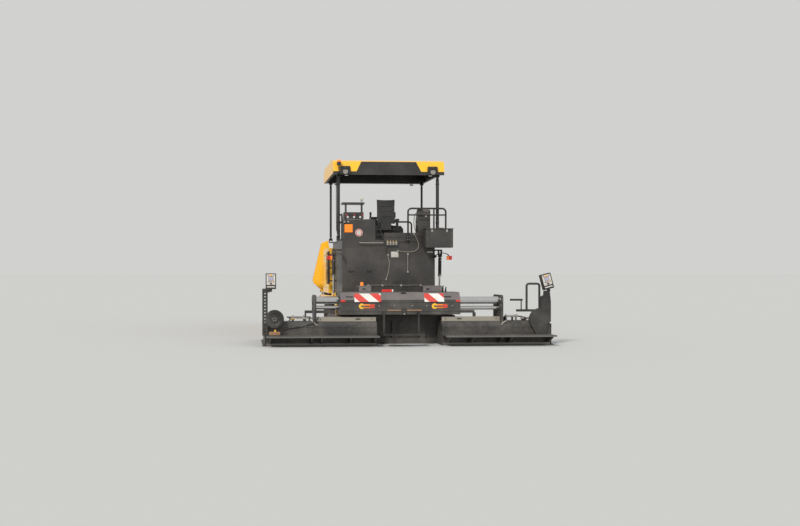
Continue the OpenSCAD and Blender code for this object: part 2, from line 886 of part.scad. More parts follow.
rail_r = 20;
rail_bend = 80;
rail_y = body_y0 - 30;
rail_x = [433, 1020, 1290];
rail_z = [2200, 2945];
module handrails() {
    rail_h = rail_z[1] - rail_z[0];
    color(black) {
        // Rear right hoop, which passes behind the locker, with an upright and a mid rail
        translate([rail_x[0], rail_y, rail_z[0]]) {
            hoop(rail_r, rail_x[2] - rail_x[0], rail_h, rail_bend);
            translate([rail_x[1] - rail_x[0], 0, 0])
                cylinder(r = rail_r - 2, h = rail_h);
            translate([0, 0, rail_h - 145])
                rod_x(rail_r - 4, 0, rail_x[2] - rail_x[0]);
        }
        for (x = [rail_x[0], rail_x[1]])
            block([x - 30, rail_y - 8, band_z - 180], [x + 30, body_y0 - seat_gap, band_z - 60]);
        block([rail_x[2] - 30, locker_y[1] + seat_gap, 2240], [rail_x[2] + 30, rail_y + 8, 2340]);
        // Side rails and front rail on the deck
        for (x = [-body_hw + 40, body_hw - 40])
            translate([x, 1120, deck_z + seat_gap])
                rotate([0, 0, 90])
                    hoop(rail_r, 760, 590, rail_bend);
        translate([-900, hood_y0 - 50, deck_z + seat_gap])
            hoop(rail_r, 1800, 510, rail_bend);
    }
}

// Ladders on both sides, over the tow arms, with a serrated grip on the rear stringer
step_zs = [1290, 1600, 1910];
step_x = body_hw + 175;
grip_pitch = 50;
module steps() {
    color(black)
    both() {
        for (z = step_zs)
            block([body_hw + seat_gap, 2080, z], [step_x, 2480, z + 30]);
        block([step_x - 20, 2470, step_zs[0] - 60], [step_x, 2480, step_zs[2] + 90]);
        profile_xz(2080, 2090)
            polygon(concat(
                [[step_x - 40, step_zs[2] + 110], [step_x - 40, step_zs[0] - 60]],
                [for (i = [0:15], k = [0, 1]) [step_x + (k == 0 ? 0 : 36),
                    step_zs[0] - 60 + (i + k * 0.6) * grip_pitch]]));
    }
}

// Seat

seat_y = 1330;
module seat_base() {
    color(black) {
        for (i = [0:4])
            block([-190 + (i % 2) * 16, seat_y - 150 + (i % 2) * 16, deck_z + seat_gap + i * 45],
                [190 - (i % 2) * 16, seat_y + 190 - (i % 2) * 16, deck_z + seat_gap + i * 45 + 46]);
        block([-230, seat_y - 190, deck_z + 225], [230, seat_y + 240, deck_z + 260]);
        for (side = [-1, 1])
            block([side * 285 - 35, seat_y - 150, deck_z + 420], [side * 285 + 35, seat_y + 170,
                deck_z + 470]);
        for (side = [-1, 1])
            block([side > 0 ? 255 : -305, seat_y - 150, deck_z + 230],
                [side > 0 ? 305 : -255, seat_y - 90, deck_z + 430]);
        block([-305, seat_y - 150, deck_z + 228], [305, seat_y - 90, deck_z + 258]);
        block([-120, seat_y - 250, deck_z + 230], [120, seat_y - 225, deck_z + 500]);
        block([-120, seat_y - 240, deck_z + 228], [120, seat_y - 180, deck_z + 258]);
    }
}

module seat_cushion() {
    color(black)
        block([-225, seat_y - 160, deck_z + 260 + seat_gap], [225, seat_y + 260, deck_z + 370]);
}

module seat_back() {
    color(black)
        block([-205, seat_y - 225 + seat_gap, deck_z + 375], [205, seat_y - 165 + seat_gap, 3170]);
}

// Consoles

module consoles() {
    color(grey) {
        // Main console across the front of the deck
        profile_xz(hood_y0 - 420, hood_y0 - 120)
            polygon([
                [-620, deck_z + seat_gap], [620, deck_z + seat_gap],
                [620, 2560], [560, 2640], [-560, 2640], [-620, 2560]
            ]);
        // Right console block
        profile_yz(680, 960)
            polygon([
                [body_y0 + 60, deck_z + seat_gap], [1080, deck_z + seat_gap],
                [1080, 2700], [960, 2920], [body_y0 + 60, 2920]
            ]);
        // Rear left desk with its visor on two struts
        for (x = [-980, -620])
            block([x, body_y0 + panel_t + 30, deck_z + seat_gap], [x + 40, body_y0 + panel_t + 70,
                3045]);
        block([-1040, body_y0 + panel_t + 10, 3040], [-540, body_y0 + panel_t + 250, 3080]);
        block([-1000, body_y0 + panel_t + 20, 2720], [-560, body_y0 + panel_t + 220, 2860]);
    }
}

// Locker at the rear right corner, open under its lid
locker_x = [760, 1370];
locker_y = [400, 700];
locker_z = [2060, 2480];
locker_t = 12;
locker_rear_t = 15;
locker_hinge_xs = [880, 1180];
module locker_hinge() {
    translate([0, locker_y[1] - locker_rear_t + 3, locker_z[1] + 3 + hinge_v])
        children();
}

module locker_box() {
    color(grey) {
        difference() {
            block([locker_x[0], locker_y[0], locker_z[0]],
                [locker_x[1], locker_y[1], locker_z[1] - 16]);
            block([locker_x[0] + locker_t, locker_y[0] + locker_t, locker_z[0] + locker_t],
                [locker_x[1] - locker_t, locker_y[1] - locker_rear_t, locker_z[1]]);
        }
        block([locker_x[0], locker_y[1] - locker_rear_t, locker_z[1] - 17],
            [locker_x[1], locker_y[1], locker_z[1] + 3]);
        for (x = locker_hinge_xs)
            locker_hinge()
                ears(x);
        // Shelf brackets to the rear wall
        for (x = [locker_x[0] + 60, body_hw - 90])
            block([x, locker_y[1] - fine, locker_z[0]], [x + 30, body_y0 - seat_gap,
                locker_z[0] + 160]);
    }
}

module locker_lid() {
    color(grey) {
        block([locker_x[0] - 12, locker_y[0] - 12, locker_z[1] - 11],
            [locker_x[1] + 12, locker_y[1] - locker_rear_t - run_gap, locker_z[1] + 3]);
        for (x = locker_hinge_xs)
            locker_hinge()
                knuckle(x);
    }
}

// Tail lamps on bent flat arms
lamp_arm = [for (a = [-90:15:90]) [body_hw + 145 + 150 * sin(a), 1870 + 75 * cos(a)]];
lamp_y = [610, 650];
module tail_lamps() {
    color([0.75, 0.1, 0.05])
    both() {
        block([body_hw + 240, lamp_y[0], 1790], [body_hw + 350, lamp_y[1], 1880]);
        profile_xz(lamp_y[1] - fine, lamp_y[1] + 30)
            polygon(ribbon(lamp_arm, -6, 6));
        block([body_hw + 280, lamp_y[1] - fine, 1810], [body_hw + 310, lamp_y[1] + 30, 1875]);
        block([body_hw - 20, lamp_y[1] - 5, 1840], [body_hw + 8, lamp_y[1] + 20, 1900]);
        block([body_hw - 20, lamp_y[1] + 5, 1845], [body_hw, body_y0 - seat_gap, 1895]);
    }
}

// Hoses held at both ends on the rear wall
hose_r = 11;
hose_y = body_y0 - hose_r - seat_gap;
module rear_hoses() {
    color([0.45, 0.42, 0.38]) {
        hose(hose_r, [
            [571, hose_y, 2370], [640, hose_y, 2260], [680, hose_y, 2160], [682, hose_y, 2100],
            [655, hose_y, 2030], [590, hose_y, 1985], [480, hose_y, 1965], [330, hose_y, 1970],
            [200, hose_y, 1990]
        ]);
        hose(hose_r, [[-20, hose_y, 1900], [20, hose_y, 1700], [-10, hose_y, 1500],
            [-60, hose_y, 1350]]);
    }
}

// Roof

module roof() {
    color(black) {
        difference() {
            profile_yz(-roof_hw, roof_hw)
                polygon([
                    [roof_y0 + 60, roof_z0], [roof_y1 - 60, roof_z0], [roof_y1, roof_z0 + 50],
                    [roof_y1 - 120, roof_z1 - 60], [roof_y1 - 400, roof_z1],
                    [roof_y0 + 300, roof_z1], [roof_y0 + 60, roof_z1 - 60], [roof_y0, roof_z0 - 40],
                    [roof_y0 + 14, roof_z0 - 40], [roof_y0 + 14, roof_z0 + 20]
                ]);
            // Hollow underside
            block([-roof_hw + 60, roof_y0 + 140, roof_z0 - 1],
                [roof_hw - 60, roof_y1 - 200, roof_z1 - 60]);
        }
        // Brackets of the upper post pivots
        for (y = [post_y0, post_y1])
            both()
                translate([post_x, y, post_z1])
                    cheeks(post_eye_w, post_foot_t, post_pin_r)
                        translate([-30, -26])
                            square([60, roof_z1 - post_z1 - 24]);
    }
}

// A post with an eye at each end, leaning by nothing as parked
module roof_post(y, r) {
    for (z = [post_z0, post_z1])
        translate([post_x, y, z])
            difference() {
                rod_x(26, -post_eye_w / 2, post_eye_w / 2);
                rod_x(post_pin_r + pin_play, -post_eye_w, post_eye_w);
            }
    difference() {
        translate([post_x, y, post_z0])
            cylinder(r = r, h = post_z1 - post_z0);
        // Flats beside the cheeks, and the bores
        for (z = [post_z0, post_z1])
            translate([post_x, y, z]) {
                for (x = [post_eye_w / 2, -post_eye_w / 2 - 60])
                    block([x, -60, -60], [x + 60, 60, 60]);
                rod_x(post_pin_r + pin_play, -60, 60);
            }
    }
}

module roof_posts_rear() {
    color(black)
    both()
        roof_post(post_y0, post_r);
}

module roof_posts_front() {
    color(black)
    both()
        roof_post(post_y1, post_r - 10);
}

module roof_lamps() {
    color([0.9, 0.9, 0.85]) {
        for (y = [roof_y0 + 75, roof_y1 - 110])
            both()
                translate([roof_hw - 300, y, roof_z0 - 45 - seat_gap])
                    cylinder(r = 42, h = 45);
        block([-380, roof_y0 + 400, roof_z1 - 60 - seat_gap - 50],
            [-280, roof_y0 + 600, roof_z1 - 60 - seat_gap]);
    }
}

// Tow arms

// Side view of a tow arm from the tow point back to the screed
module tow_arm() {
    difference() {
        union() {
            profile_yz(arm_x, arm_x + arm_w)
                polygon([
                    [tow_y, tow_z - 75], [tow_y, tow_z + 75], [2600, tow_z + 95],
                    [1500, tow_z + 110], [900, tow_z + 130], [300, tow_z + 130],
                    [120, tow_z + 90], [20, tow_z], [20, screed_z1], [200, screed_z1],
                    [200, tow_z - 120], [340, tow_z - 45], [1000, tow_z - 50]
                ]);
            translate([0, tow_y, tow_z])
                rod_x(75, arm_x, arm_x + arm_w);
            // Eye bracket of the lift cylinder
            translate([lift_x, lift_eye[0], lift_eye[1]])
                cheeks(lift_eye_w, lift_cheek_t, lift_pin_r)
                    polygon([[-70, -40], [70, -50], [34, 34], [-34, 34]]);
        }
        translate([0, tow_y, tow_z])
            rod_x(tow_pin_r + pin_play, arm_x - 1, arm_x + arm_w + 1);
        // Room for the rod's eye over the arm
        block([lift_x - lift_eye_w / 2 - run_gap, lift_eye[0] - 50, tow_z + 106],
            [lift_x + lift_eye_w / 2 + run_gap, lift_eye[0] + 50, tow_z + 135]);
    }
}

module tow_arms() {
    color(yellow)
    both()
        tow_arm();
}

// Lift cylinders, drawn along the line from base to eye
lift_d = lift_eye - lift_base;
lift_len = norm(lift_d);
lift_tilt = atan2(lift_d[0], -lift_d[1]);
lift_barrel_len = 480;
lift_rod_len = 450;
lift_rod_r = 22;
module lift_frame() {
    translate([lift_x, lift_base[0], lift_base[1]])
        rotate([lift_tilt, 0, 0])
            rotate([180, 0, 0])
                children();
}

module lift_barrels() {
    color(black)
    both()
        lift_frame()
            barrel(lift_barrel_len, 38, lift_rod_r, lift_pin_r, lift_eye_w);
}

module lift_rods() {
    color("silver")
    both()
        lift_frame()
            piston_rod(lift_len - lift_rod_len, lift_len, lift_rod_r, lift_pin_r + 14, lift_eye_w);
}

// Main screed

module screed_box() {
    color(black)
    difference() {
        profile_yz(-screed_hw, screed_hw)
            polygon([
                [screed_y0, 0], [screed_y1 - 40, 0], [screed_y1, 45], [screed_y1, 420],
                [screed_y1 - 60, screed_z1], [screed_y0, screed_z1]
            ]);
        for (i = [0:3])
            block([-screed_hw + 80 + i * 590, screed_y0 - 1, 120],
                [-screed_hw + 560 + i * 590, screed_y0 + 60, 480]);
    }
}

module guide_housing() {
    color([0.35, 0.35, 0.36])
    difference() {
        union() {
            profile_yz(-screed_hw, screed_hw)
                polygon([
                    [housing_y0, housing_z0], [housing_y1, housing_z0],
                    [housing_y1, housing_z1 - 60], [housing_y1 - 60, housing_z1],
                    [housing_y0 + 90, housing_z1], [housing_y0, housing_z1 - 160]
                ]);
            // Feet on the main screed box
            for (x = [-1100, -400, 300, 1000])
                block([x, screed_y0 + 20, screed_z1], [x + 100, housing_y1 - 20, housing_z0 + fine]);
        }
        for (y = [tube_y0, tube_y1]) {
            translate([0, y, tube_z1])
                rod_x(tube_r1 + pin_play, -screed_hw - 1, screed_hw + 1);
            translate([0, y, tube_z0])
                rod_x(tube_r0 + pin_play, -screed_hw - 1, screed_hw + 1);
        }
        // Handle recess
        block([980, housing_y0 - 1, 1000], [1130, housing_y0 + 60, 1035]);
    }
}

// Junction boxes, lamp bar and pipe on the housing
module screed_fittings() {
    color([0.5, 0.5, 0.5]) {
        block([-850, housing_y0 + 110, housing_z1 + seat_gap],
            [-600, housing_y0 + 320, housing_z1 + 130]);
        block([490, housing_y0 + 110, housing_z1 + seat_gap],
            [890, housing_y0 + 320, housing_z1 + 130]);
        block([-380, housing_y0 + 100, housing_z1 + seat_gap],
            [-140, housing_y0 + 150, housing_z1 + 60]);
        translate([-780, housing_y0 + 200, housing_z1 + 130 - fine])
            cylinder(r = 32, h = 60);
        // Pipe along the front of the top
        translate([0, housing_y1 - 110, housing_z1 + 130])
            rod_x(20, -640, 560);
        for (x = [-600, -40, 520])
            block([x, housing_y1 - 130, housing_z1 + seat_gap],
                [x + 24, housing_y1 - 90, housing_z1 + 130]);
    }
}

center_board_hx = 420;
center_board_z = board_z + 10;
module screed_foot_board() {
    color(black) {
        block([-center_board_hx, unit_y0 - 20 - board_d, center_board_z],
            [center_board_hx, unit_y0 - 20, center_board_z + 30]);
        for (x = [-center_board_hx + 40, center_board_hx - 80]) {
            block([x, unit_y0 - 45, center_board_z + 20], [x + 40, unit_y0 - 20, housing_z0 + 60]);
            block([x, unit_y0 - 45, housing_z0 + 20],
                [x + 40, housing_y0 - seat_gap, housing_z0 + 60]);
        }
    }
}

// Extension units

// Inner ends of the units, and outer ends of their bolted boxes
unit_x0_right = screed_hw + out_right - unit_w + run_gap;
unit_x0_left = screed_hw + out_left - unit_w + run_gap;
unit_x3_right = unit_x0_right + unit_w + bracket_t + bolt_on_w;
unit_x3_left = unit_x0_left + unit_w + bracket_t + bolt_on_w;

// Right-hand unit from its inner end x0, with the bolted box beyond the bracket
module extension(x0, tube_y) {
    x1 = x0 + unit_w;
    x2 = x1 + bracket_t;
    x3 = x2 + bolt_on_w;
    section = [
        [unit_y0, 0], [unit_y1 - 35, 0], [unit_y1, 40], [unit_y1, unit_z1 - 60],
        [unit_y1 - 50, unit_z1], [unit_y0 + 60, unit_z1], [unit_y0, unit_z1 - 80]
    ];
    difference() {
        union() {
            profile_yz(x0, x1 + fine)
                polygon(section);
            profile_yz(x2 - fine, x3)
                polygon(section);
            // End bracket that the guide tubes are clamped in
            profile_yz(x1, x2)
                polygon([
                    [unit_y0, 0], [unit_y1, 0], [unit_y1, 420], [-95, 560], [-95, 1000],
                    [-140, 1040], [unit_y0 + 40, 1040], [unit_y0, 1000]
                ]);
            // Lugs of the bolted box, with lifting holes
            for (x = [x2 + 80, (x2 + x3) / 2 - 10, x3 - 100])
                profile_yz(x, x + 20)
                    difference() {
                        polygon([
                            [unit_y0 + 70, unit_z1 - 10], [unit_y0 + 330, unit_z1 - 10],
                            [unit_y0 + 300, unit_z1 + 80], [unit_y0 + 100, unit_z1 + 80]
                        ]);
                        translate([unit_y0 + 200, unit_z1 + 35])
                            circle(r = 24);
                    }
            // Foot board on brackets
            block([x0, unit_y0 - 20 - board_d, board_z - 30], [x3, unit_y0 - 20, board_z]);
            for (x = [x0 + 60, x0 + 560, x1 - 100, x2 + 60, x3 - 100])
                profile_yz(x, x + 30)
                    polygon([
                        [unit_y0 + fine, 60], [unit_y0 + fine, board_z - 28],
                        [unit_y0 - board_d, board_z - 28], [unit_y0 - board_d, board_z - 50],
                        [unit_y0 - 120, 60]
                    ]);
            block([x0, unit_y0 - 22, board_z - 60], [x3, unit_y0 + fine, board_z - 20]);
        }
        // Sockets of the guide tubes in the bracket
        for (tube = [[tube_z1, tube_r1], [tube_z0, tube_r0]])
            translate([0, tube_y, tube[0]])
                rod_x(tube[1] + pin_play, x1 - 1, x1 + bracket_t - 12);
        // Recesses in the front face
        for (x = [[x0 + 60, x1 - 60], [x2 + 60, x3 - 60]])
            block([x[0], unit_y1 - 20, 120], [x[1], unit_y1 + 1, 380]);
    }
    // Runners and studs of the end gate
    for (y = gate_stud_ys) {
        block([x3 - fine, y - 25, 40], [x3 + run_gap - seat_gap, y + 25, unit_z1 - 100]);
        translate([0, y, gate_stud_z]) {
            rod_x(gate_stud_r, x3 - fine, x3 + run_gap + gate_t + seat_gap + 1);
            rod_x(gate_stud_r + 14, x3 + run_gap + gate_t + seat_gap, x3 + run_gap + gate_t + 9);
        }
    }
}

module extension_right() {
    color(black)
        extension(unit_x0_right, tube_y0);
}

// Folded channel along the top of a unit, open to the front
channel_z = [unit_z1 + seat_gap, unit_z1 + 88];
channel_y = [unit_y0 + 70, unit_y0 + 190];
channel_t = 8;
module top_channel(x0) {
    color([0.6, 0.57, 0.5])
    difference() {
        block([x0 + 10, channel_y[0], channel_z[0]], [x0 + unit_w - 10, channel_y[1], channel_z[1]]);
        block([x0, channel_y[0] + channel_t, channel_z[0] + channel_t],
            [x0 + unit_w, channel_y[1] + 1, channel_z[1] - channel_t]);
        // Bolt holes and a slotted end
        for (x = [x0 + 90, x0 + unit_w - 90])
            translate([x, 0, channel_z[0] + 45])
                rod_y(12, channel_y[0] - 1, channel_y[0] + channel_t + 1);
        block([x0 + 330, channel_y[0] - 1, channel_z[0] + 34],
            [x0 + 430, channel_y[0] + channel_t + 1, channel_z[0] + 58]);
    }
}

module top_channel_right() {
    top_channel(unit_x0_right);
}

module top_channel_left() {
    mirror([1, 0, 0])
        top_channel(unit_x0_left);
}

// The left unit is mirrored, and runs on the front pair of tubes
module extension_left() {
    color(black)
        mirror([1, 0, 0])
            extension(unit_x0_left, tube_y1);
}

module guide_tubes(y, out) {
    x = screed_hw + run_gap + out + bracket_t - 12 - seat_gap;
    for (tube = [[tube_z1, tube_r1], [tube_z0, tube_r0]])
        translate([0, y, tube[0]])
            rod_x(tube[1], x - tube_len, x);
}

module guide_tubes_right() {
    color("silver")
        guide_tubes(tube_y0, out_right);
}

module guide_tubes_left() {
    color("silver")
        mirror([1, 0, 0])
            guide_tubes(tube_y1, out_left);
}

// Control stands at the outer ends

stand_y = unit_y0 - 80;
// Box with a raised rim round its face, which looks to the rear, and a foot
module control_box(x, z, lean) {
    translate([x, stand_y + 30, z])
        rotate([0, lean, 0]) {
            difference() {
                block([-105, -60, -160], [105, 60, 160]);
                block([-93, -61, -130], [93, -48, 148]);
            }
            block([-25, -20, -215], [25, 40, -155]);
        }
}

// Left stand: perforated post, distance wheel and foot clamp
wheel_x = -180;
wheel_z = 560;
module control_stand_left() {
    x3 = unit_x3_left;
    mirror([1, 0, 0])
        color(black) {
            difference() {
                block([x3 - 40, stand_y, board_z + seat_gap], [x3 + 70, stand_y + 60, 1180]);
                for (i = [0:12])
                    translate([x3 + 15, 0, 300 + i * 65])
                        rod_y(14, stand_y - 1, stand_y + 61);
            }
            block([x3 - 80, stand_y + 10, 1100], [x3 - 30, stand_y + 50, 1160]);
            control_box(x3 - 104, 1330, 0);
            block([x3 - 100, stand_y + 10, 1130], [x3 - 50, stand_y + 70, 1190]);
            // Arm and wheel
            block([x3 + wheel_x, stand_y + 10, wheel_z - 25], [x3 - 30, stand_y + 50, wheel_z + 25]);
            translate([x3 + wheel_x, stand_y - 50, wheel_z])
                rotate([-90, 0, 0])
                    rotate_extrude()
                        polygon([
                            [0, 0], [60, 0], [66, 14], [110, 14], [124, 4], [178, 4], [190, 20],
                            [190, 60], [178, 76], [60, 76], [50, 66], [0, 66]
                        ]);
            // Foot clamp
            block([x3 - 305, stand_y - 20, board_z + seat_gap], [x3 - 39, stand_y + 70, board_z + 75]);
        }
}

// Right stand: cast column, leaning box, grab hoop and lever
stand_lean = -15;
module control_stand_right() {
    x3 = unit_x3_right;
    color(black) {
        profile_xz(stand_y, stand_y + 60)
            polygon(concat(
                [[x3 - 330, board_z + seat_gap], [x3 - 95, board_z + seat_gap], [x3 - 95, 460],
                    [x3 - 20, 490], [x3 - 20, 908], [x3 - 45, 1130], [x3 - 158, 1130],
                    [x3 - 165, 1040], [x3 - 240, 1000]],
                [for (a = [90:-15:0]) [x3 - 240 - 240 * cos(a), 500 + 270 * sin(a)]]));
        control_box(x3 - 104, 1323, stand_lean);
        translate([x3 - 525, stand_y + 30, 740])
            hoop(22, 270, 536, 50);
        // Plate with the lever on its post
        block([x3 - 740, stand_y + 5, 698], [x3 - 250, stand_y + 55, 745]);
        translate([x3 - 640, stand_y + 30, 744])
            cylinder(r = 12, h = 200);
        translate([x3 - 874, stand_y + 30, 943])
            rod_x(20, 0, 263);
    }
}

// End gates slide up on the outer ends
gate_t = 16;
gate_travel = 150;
gate_stud_ys = [-580, -290];
gate_stud_z = 320;
gate_stud_r = 12;
module end_gate(x3) {
    x = x3 + run_gap;
    color(black) {
        difference() {
            profile_yz(x, x + gate_t)
                polygon([
                    [-640, 0], [860, 0], [920, 60], [920, 200], [600, 430],
                    [-200, 470], [-640, 440]
                ]);
            // Slots round the studs
            for (y = gate_stud_ys)
                block([x - 1, y - gate_stud_r - pin_play, gate_stud_z - gate_travel - gate_stud_r - 5],
                    [x + gate_t + 1, y + gate_stud_r + pin_play, gate_stud_z + gate_stud_r + 5]);
        }
        block([x, -640, 0], [x + 60, 900, 14]);
    }
}

module end_gate_right() {
    end_gate(unit_x3_right);
}

module end_gate_left() {
    mirror([1, 0, 0])
        end_gate(unit_x3_left);
}

// Augers

gearbox_hw = 75;
module auger_carrier() {
    beam_z = [610, 670];
    color(grey)
    difference() {
        union() {
            block([-auger_hl, 570, beam_z[0]], [auger_hl, 640, beam_z[1]]);
            block([-gearbox_hw, auger_y - 75, auger_z - 90], [gearbox_hw, auger_y + 75,
                beam_z[0] + 10]);
            blocks([auger_hl - 25, auger_y - 70, auger_z - 80],
                [auger_hl, auger_y + 90, beam_z[0] + 10]);
            blocks([guide_post[0], guide_post_y[0] - 10, beam_z[0]],
                [guide_post[1], guide_post_y[1], 1060]);
        }
        both()
            translate([0, auger_y, auger_z]) {
                rod_x(auger_shaft_r + pin_play, gearbox_hw - 25, gearbox_hw + 1);
                rod_x(auger_shaft_r + pin_play, auger_hl - 26, auger_hl + 1);
            }
    }
}

// Helical flight that is clamped round its shaft, right side
flight_steps = 24;
module auger_flight() {
    start = gearbox_hw + 35;
    n = auger_turns * flight_steps;
    r_in = (auger_shaft_r + seat_gap) / cos(180 / flight_steps) + seat_gap;
    points = [
        for (i = [0:n], k = [0:3])
            let (
                a = i * 360 / flight_steps,
                x = start + i * auger_pitch / flight_steps + (k < 2 ? 0 : flight_t),
                r = (k == 0 || k == 3) ? r_in : auger_r)
            [x, r * cos(a), r * sin(a)]
    ];
    sides = [
        for (i = [0:n - 1], k = [0:3])
            let (a = 4 * i + k, b = 4 * i + (k + 1) % 4)
            each k == 2 ? [[a, b, a + 4], [b, b + 4, a + 4]] : [[a, b, b + 4], [a, b + 4, a + 4]]
    ];
    ends = [
        [3, 2, 1], [3, 1, 0],
        [4 * n, 4 * n + 1, 4 * n + 2], [4 * n, 4 * n + 2, 4 * n + 3]
    ];
    translate([0, auger_y, auger_z])
        polyhedron(points, concat(sides, ends));
}

module auger_flight_right() {
    color([0.45, 0.43, 0.4])
        auger_flight();
}

module auger_flight_left() {
    mirror([1, 0, 0])
        auger_flight_right();
}

module auger_shaft() {
    translate([0, auger_y, auger_z])
        rod_x(auger_shaft_r, gearbox_hw - 20, auger_hl - 4);
}

module auger_shaft_right() {
    color("gray")
        auger_shaft();
}

module auger_shaft_left() {
    mirror([1, 0, 0])
        auger_shaft_right();
}

// Push beam and rollers

push_beam_y = push_pivot_y + 70;
push_roller_y = push_beam_y + 80 + run_gap + push_r;
push_x0 = 185;
push_cheek_t = 20;
module push_beam() {
    x_end = push_x0 + run_gap + push_len + run_gap;
    color(black)
    difference() {
        union() {
            block([-x_end - push_cheek_t, push_beam_y, push_z - 65],
                [x_end + push_cheek_t, push_beam_y + 80, push_z + 65]);
            block([-70, push_pivot_y, push_z - 54], [70, push_beam_y + fine, push_z + 54]);
            translate([0, push_pivot_y, push_z - 54])
                cylinder(r = 70, h = 108);
            both()
                for (x = [push_x0 - push_cheek_t, x_end])
                    profile_yz(x, x + push_cheek_t)
                        polygon([
                            [push_beam_y + 80 - fine, push_z - 60],
                            [push_roller_y + 30, push_z - 45], [push_roller_y + 45, push_z],
                            [push_roller_y + 30, push_z + 45], [push_beam_y + 80 - fine, push_z + 60]
                        ]);
        }
        translate([0, push_pivot_y, push_z - 60])
            cylinder(r = 30 + pin_play, h = 120);
        both()
            translate([0, push_roller_y, push_z])
                rod_x(25 + pin_play, push_x0 - 30, x_end + 30);
    }
}

module push_roller() {
    translate([0, push_roller_y, push_z]) {
        rod_x(push_r, push_x0 + run_gap, push_x0 + run_gap + push_len);
        rod_x(25, push_x0 - push_cheek_t + 2, push_x0 + push_len + 2 * run_gap + push_cheek_t - 2);
    }
}

module push_roller_right() {
    color([0.4, 0.4, 0.4])
        push_roller();
}

module push_roller_left() {
    mirror([1, 0, 0])
        push_roller_right();
}

// Hopper wings

wing_bend_r = 120;
wing_lift = 45;
function wing_dir(a) = [cos(a), sin(a)];
wing_corner = [wing_x, wing_z] + wing_floor * wing_dir(wing_floor_deg);
wing_cut = wing_bend_r * tan((wing_wall_deg - wing_floor_deg) / 2);
// Middle line of the wing plate, from the hinge to the top edge
wing_line = concat(
    [[wing_x, wing_z] + 10 * wing_dir(wing_floor_deg) + wing_lift * wing_dir(wing_floor_deg + 90)],
    [for (k = [0:6])
        let (
            a = wing_floor_deg + k * (wing_wall_deg - wing_floor_deg) / 6,
            c = wing_corner - wing_cut * wing_dir(wing_floor_deg)
                + (wing_lift + wing_bend_r) * wing_dir(wing_floor_deg + 90))
        c + wing_bend_r * wing_dir(a - 90)],
    [wing_corner + wing_wall * wing_dir(wing_wall_deg)
        + wing_lift * wing_dir(wing_wall_deg + 90)]
);
wing_rib_ys = [wing_y0 + 120, wing_y0 + 460, wing_y0 + 840, wing_y0 + 1140, wing_y1 - 90];
module wing_right() {
    color(yellow)
    difference() {
        union() {
            profile_xz(wing_y0, wing_y1)
                polygon(ribbon(wing_line, -wing_t / 2, wing_t / 2));
            // Ribs on the outside
            for (y = wing_rib_ys)
                profile_xz(y, y + 12)
                    polygon(ribbon(wing_line, -wing_t / 2 - 34, 0));
            // End walls
            profile_xz(wing_y0, wing_y0 + wing_t)
                polygon(wing_line);
            profile_xz(wing_y1 - wing_t, wing_y1)
                polygon([for (i = [0:7]) wing_line[i]]);
            // Top rim
            profile_xz(wing_y0, wing_y1)
                translate(wing_line[len(wing_line) - 1] - [wing_t / 2 + 18, 12])
                    square([30, 24]);
            // Hinge knuckles
            for (y = wing_lug_y) {
                translate([wing_x, 0, wing_z])
                    rod_y(wing_pin_r + 15, y, y + wing_knuckle_w);
                profile_xz(y, y + wing_knuckle_w)
                    polygon([
                        [wing_x - 10, wing_z + 20], [wing_x + 36, wing_z - 8],
                        wing_line[0] + 60 * wing_dir(wing_floor_deg) - wing_t / 2
                            * wing_dir(wing_floor_deg + 90),
                        wing_line[0]
                    ]);
            }
            // Cylinder eye bracket under the floor
            translate([ram_eye[0], ram_y, ram_eye[1]])
                rotate([0, 0, -90])
                    cheeks(ram_eye_w, ram_cheek_t, ram_pin_r)
                        polygon([
                            [-30, -16], [26, -16],
                            100 * wing_dir(wing_floor_deg) + 93 * wing_dir(wing_floor_deg + 90),
                            -60 * wing_dir(wing_floor_deg) + 93 * wing_dir(wing_floor_deg + 90)
                        ]);
        }
        for (y = wing_lug_y)
            translate([wing_x, 0, wing_z])
                rod_y(wing_pin_r + pin_play, y - 1, y + wing_knuckle_w + 1);
    }
}

module wing_left() {
    mirror([1, 0, 0])
        wing_right();
}

// Wing cylinders along the line from base to eye
ram_d = ram_eye - ram_base;
ram_len = norm(ram_d);
ram_lean = atan2(ram_d[0], ram_d[1]);
ram_barrel_len = 410;
ram_rod_len = 400;
ram_rod_r = 18;
module ram_frame() {
    translate([ram_base[0], ram_y, ram_base[1]])
        rotate([0, ram_lean, 0])
            rotate([0, 0, 90])
                children();
}

module wing_barrel_right() {
    color(black)
    ram_frame()
        barrel(ram_barrel_len, 32, ram_rod_r, ram_pin_r, ram_eye_w);
}

module wing_rod_right() {
    color("silver")
    ram_frame()
        piston_rod(ram_len - ram_rod_len, ram_len, ram_rod_r, ram_pin_r + 14, ram_eye_w);
}

module wing_barrel_left() {
    mirror([1, 0, 0])
        wing_barrel_right();
}

module wing_rod_left() {
    mirror([1, 0, 0])
        wing_rod_right();
}

chassis_frame();
chassis_fittings();
track_left();
track_right();
track_gear_left();
track_gear_right();
conveyors();
conveyor_shafts();
engine_block();
engine_hood();
rear_body();
deck();
handrails();
steps();
seat_base();
seat_cushion();
seat_back();
consoles();
locker_box();
locker_lid();
tail_lamps();
rear_hoses();
hood_lid();
side_door_left();
side_door_right();
roof();
roof_lamps();
roof_posts_rear();
roof_posts_front();
tow_arms();
screed_box();
guide_housing();
screed_fittings();
screed_foot_board();
lift_barrels();
lift_rods();
extension_left();
extension_right();
top_channel_left();
top_channel_right();
guide_tubes_left();
guide_tubes_right();
control_stand_left();
control_stand_right();
end_gate_left();
end_gate_right();
auger_carrier();
auger_flight_left();
auger_flight_right();
auger_shaft_left();
auger_shaft_right();
push_beam();
push_roller_left();
push_roller_right();
wing_left();
wing_right();
wing_barrel_left();
wing_barrel_right();
wing_rod_left();
wing_rod_right();
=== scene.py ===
"""Looks of a tracked asphalt paver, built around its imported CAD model. Metres; +Y is travel, +Z up."""

import json
import math
import random
from itertools import product

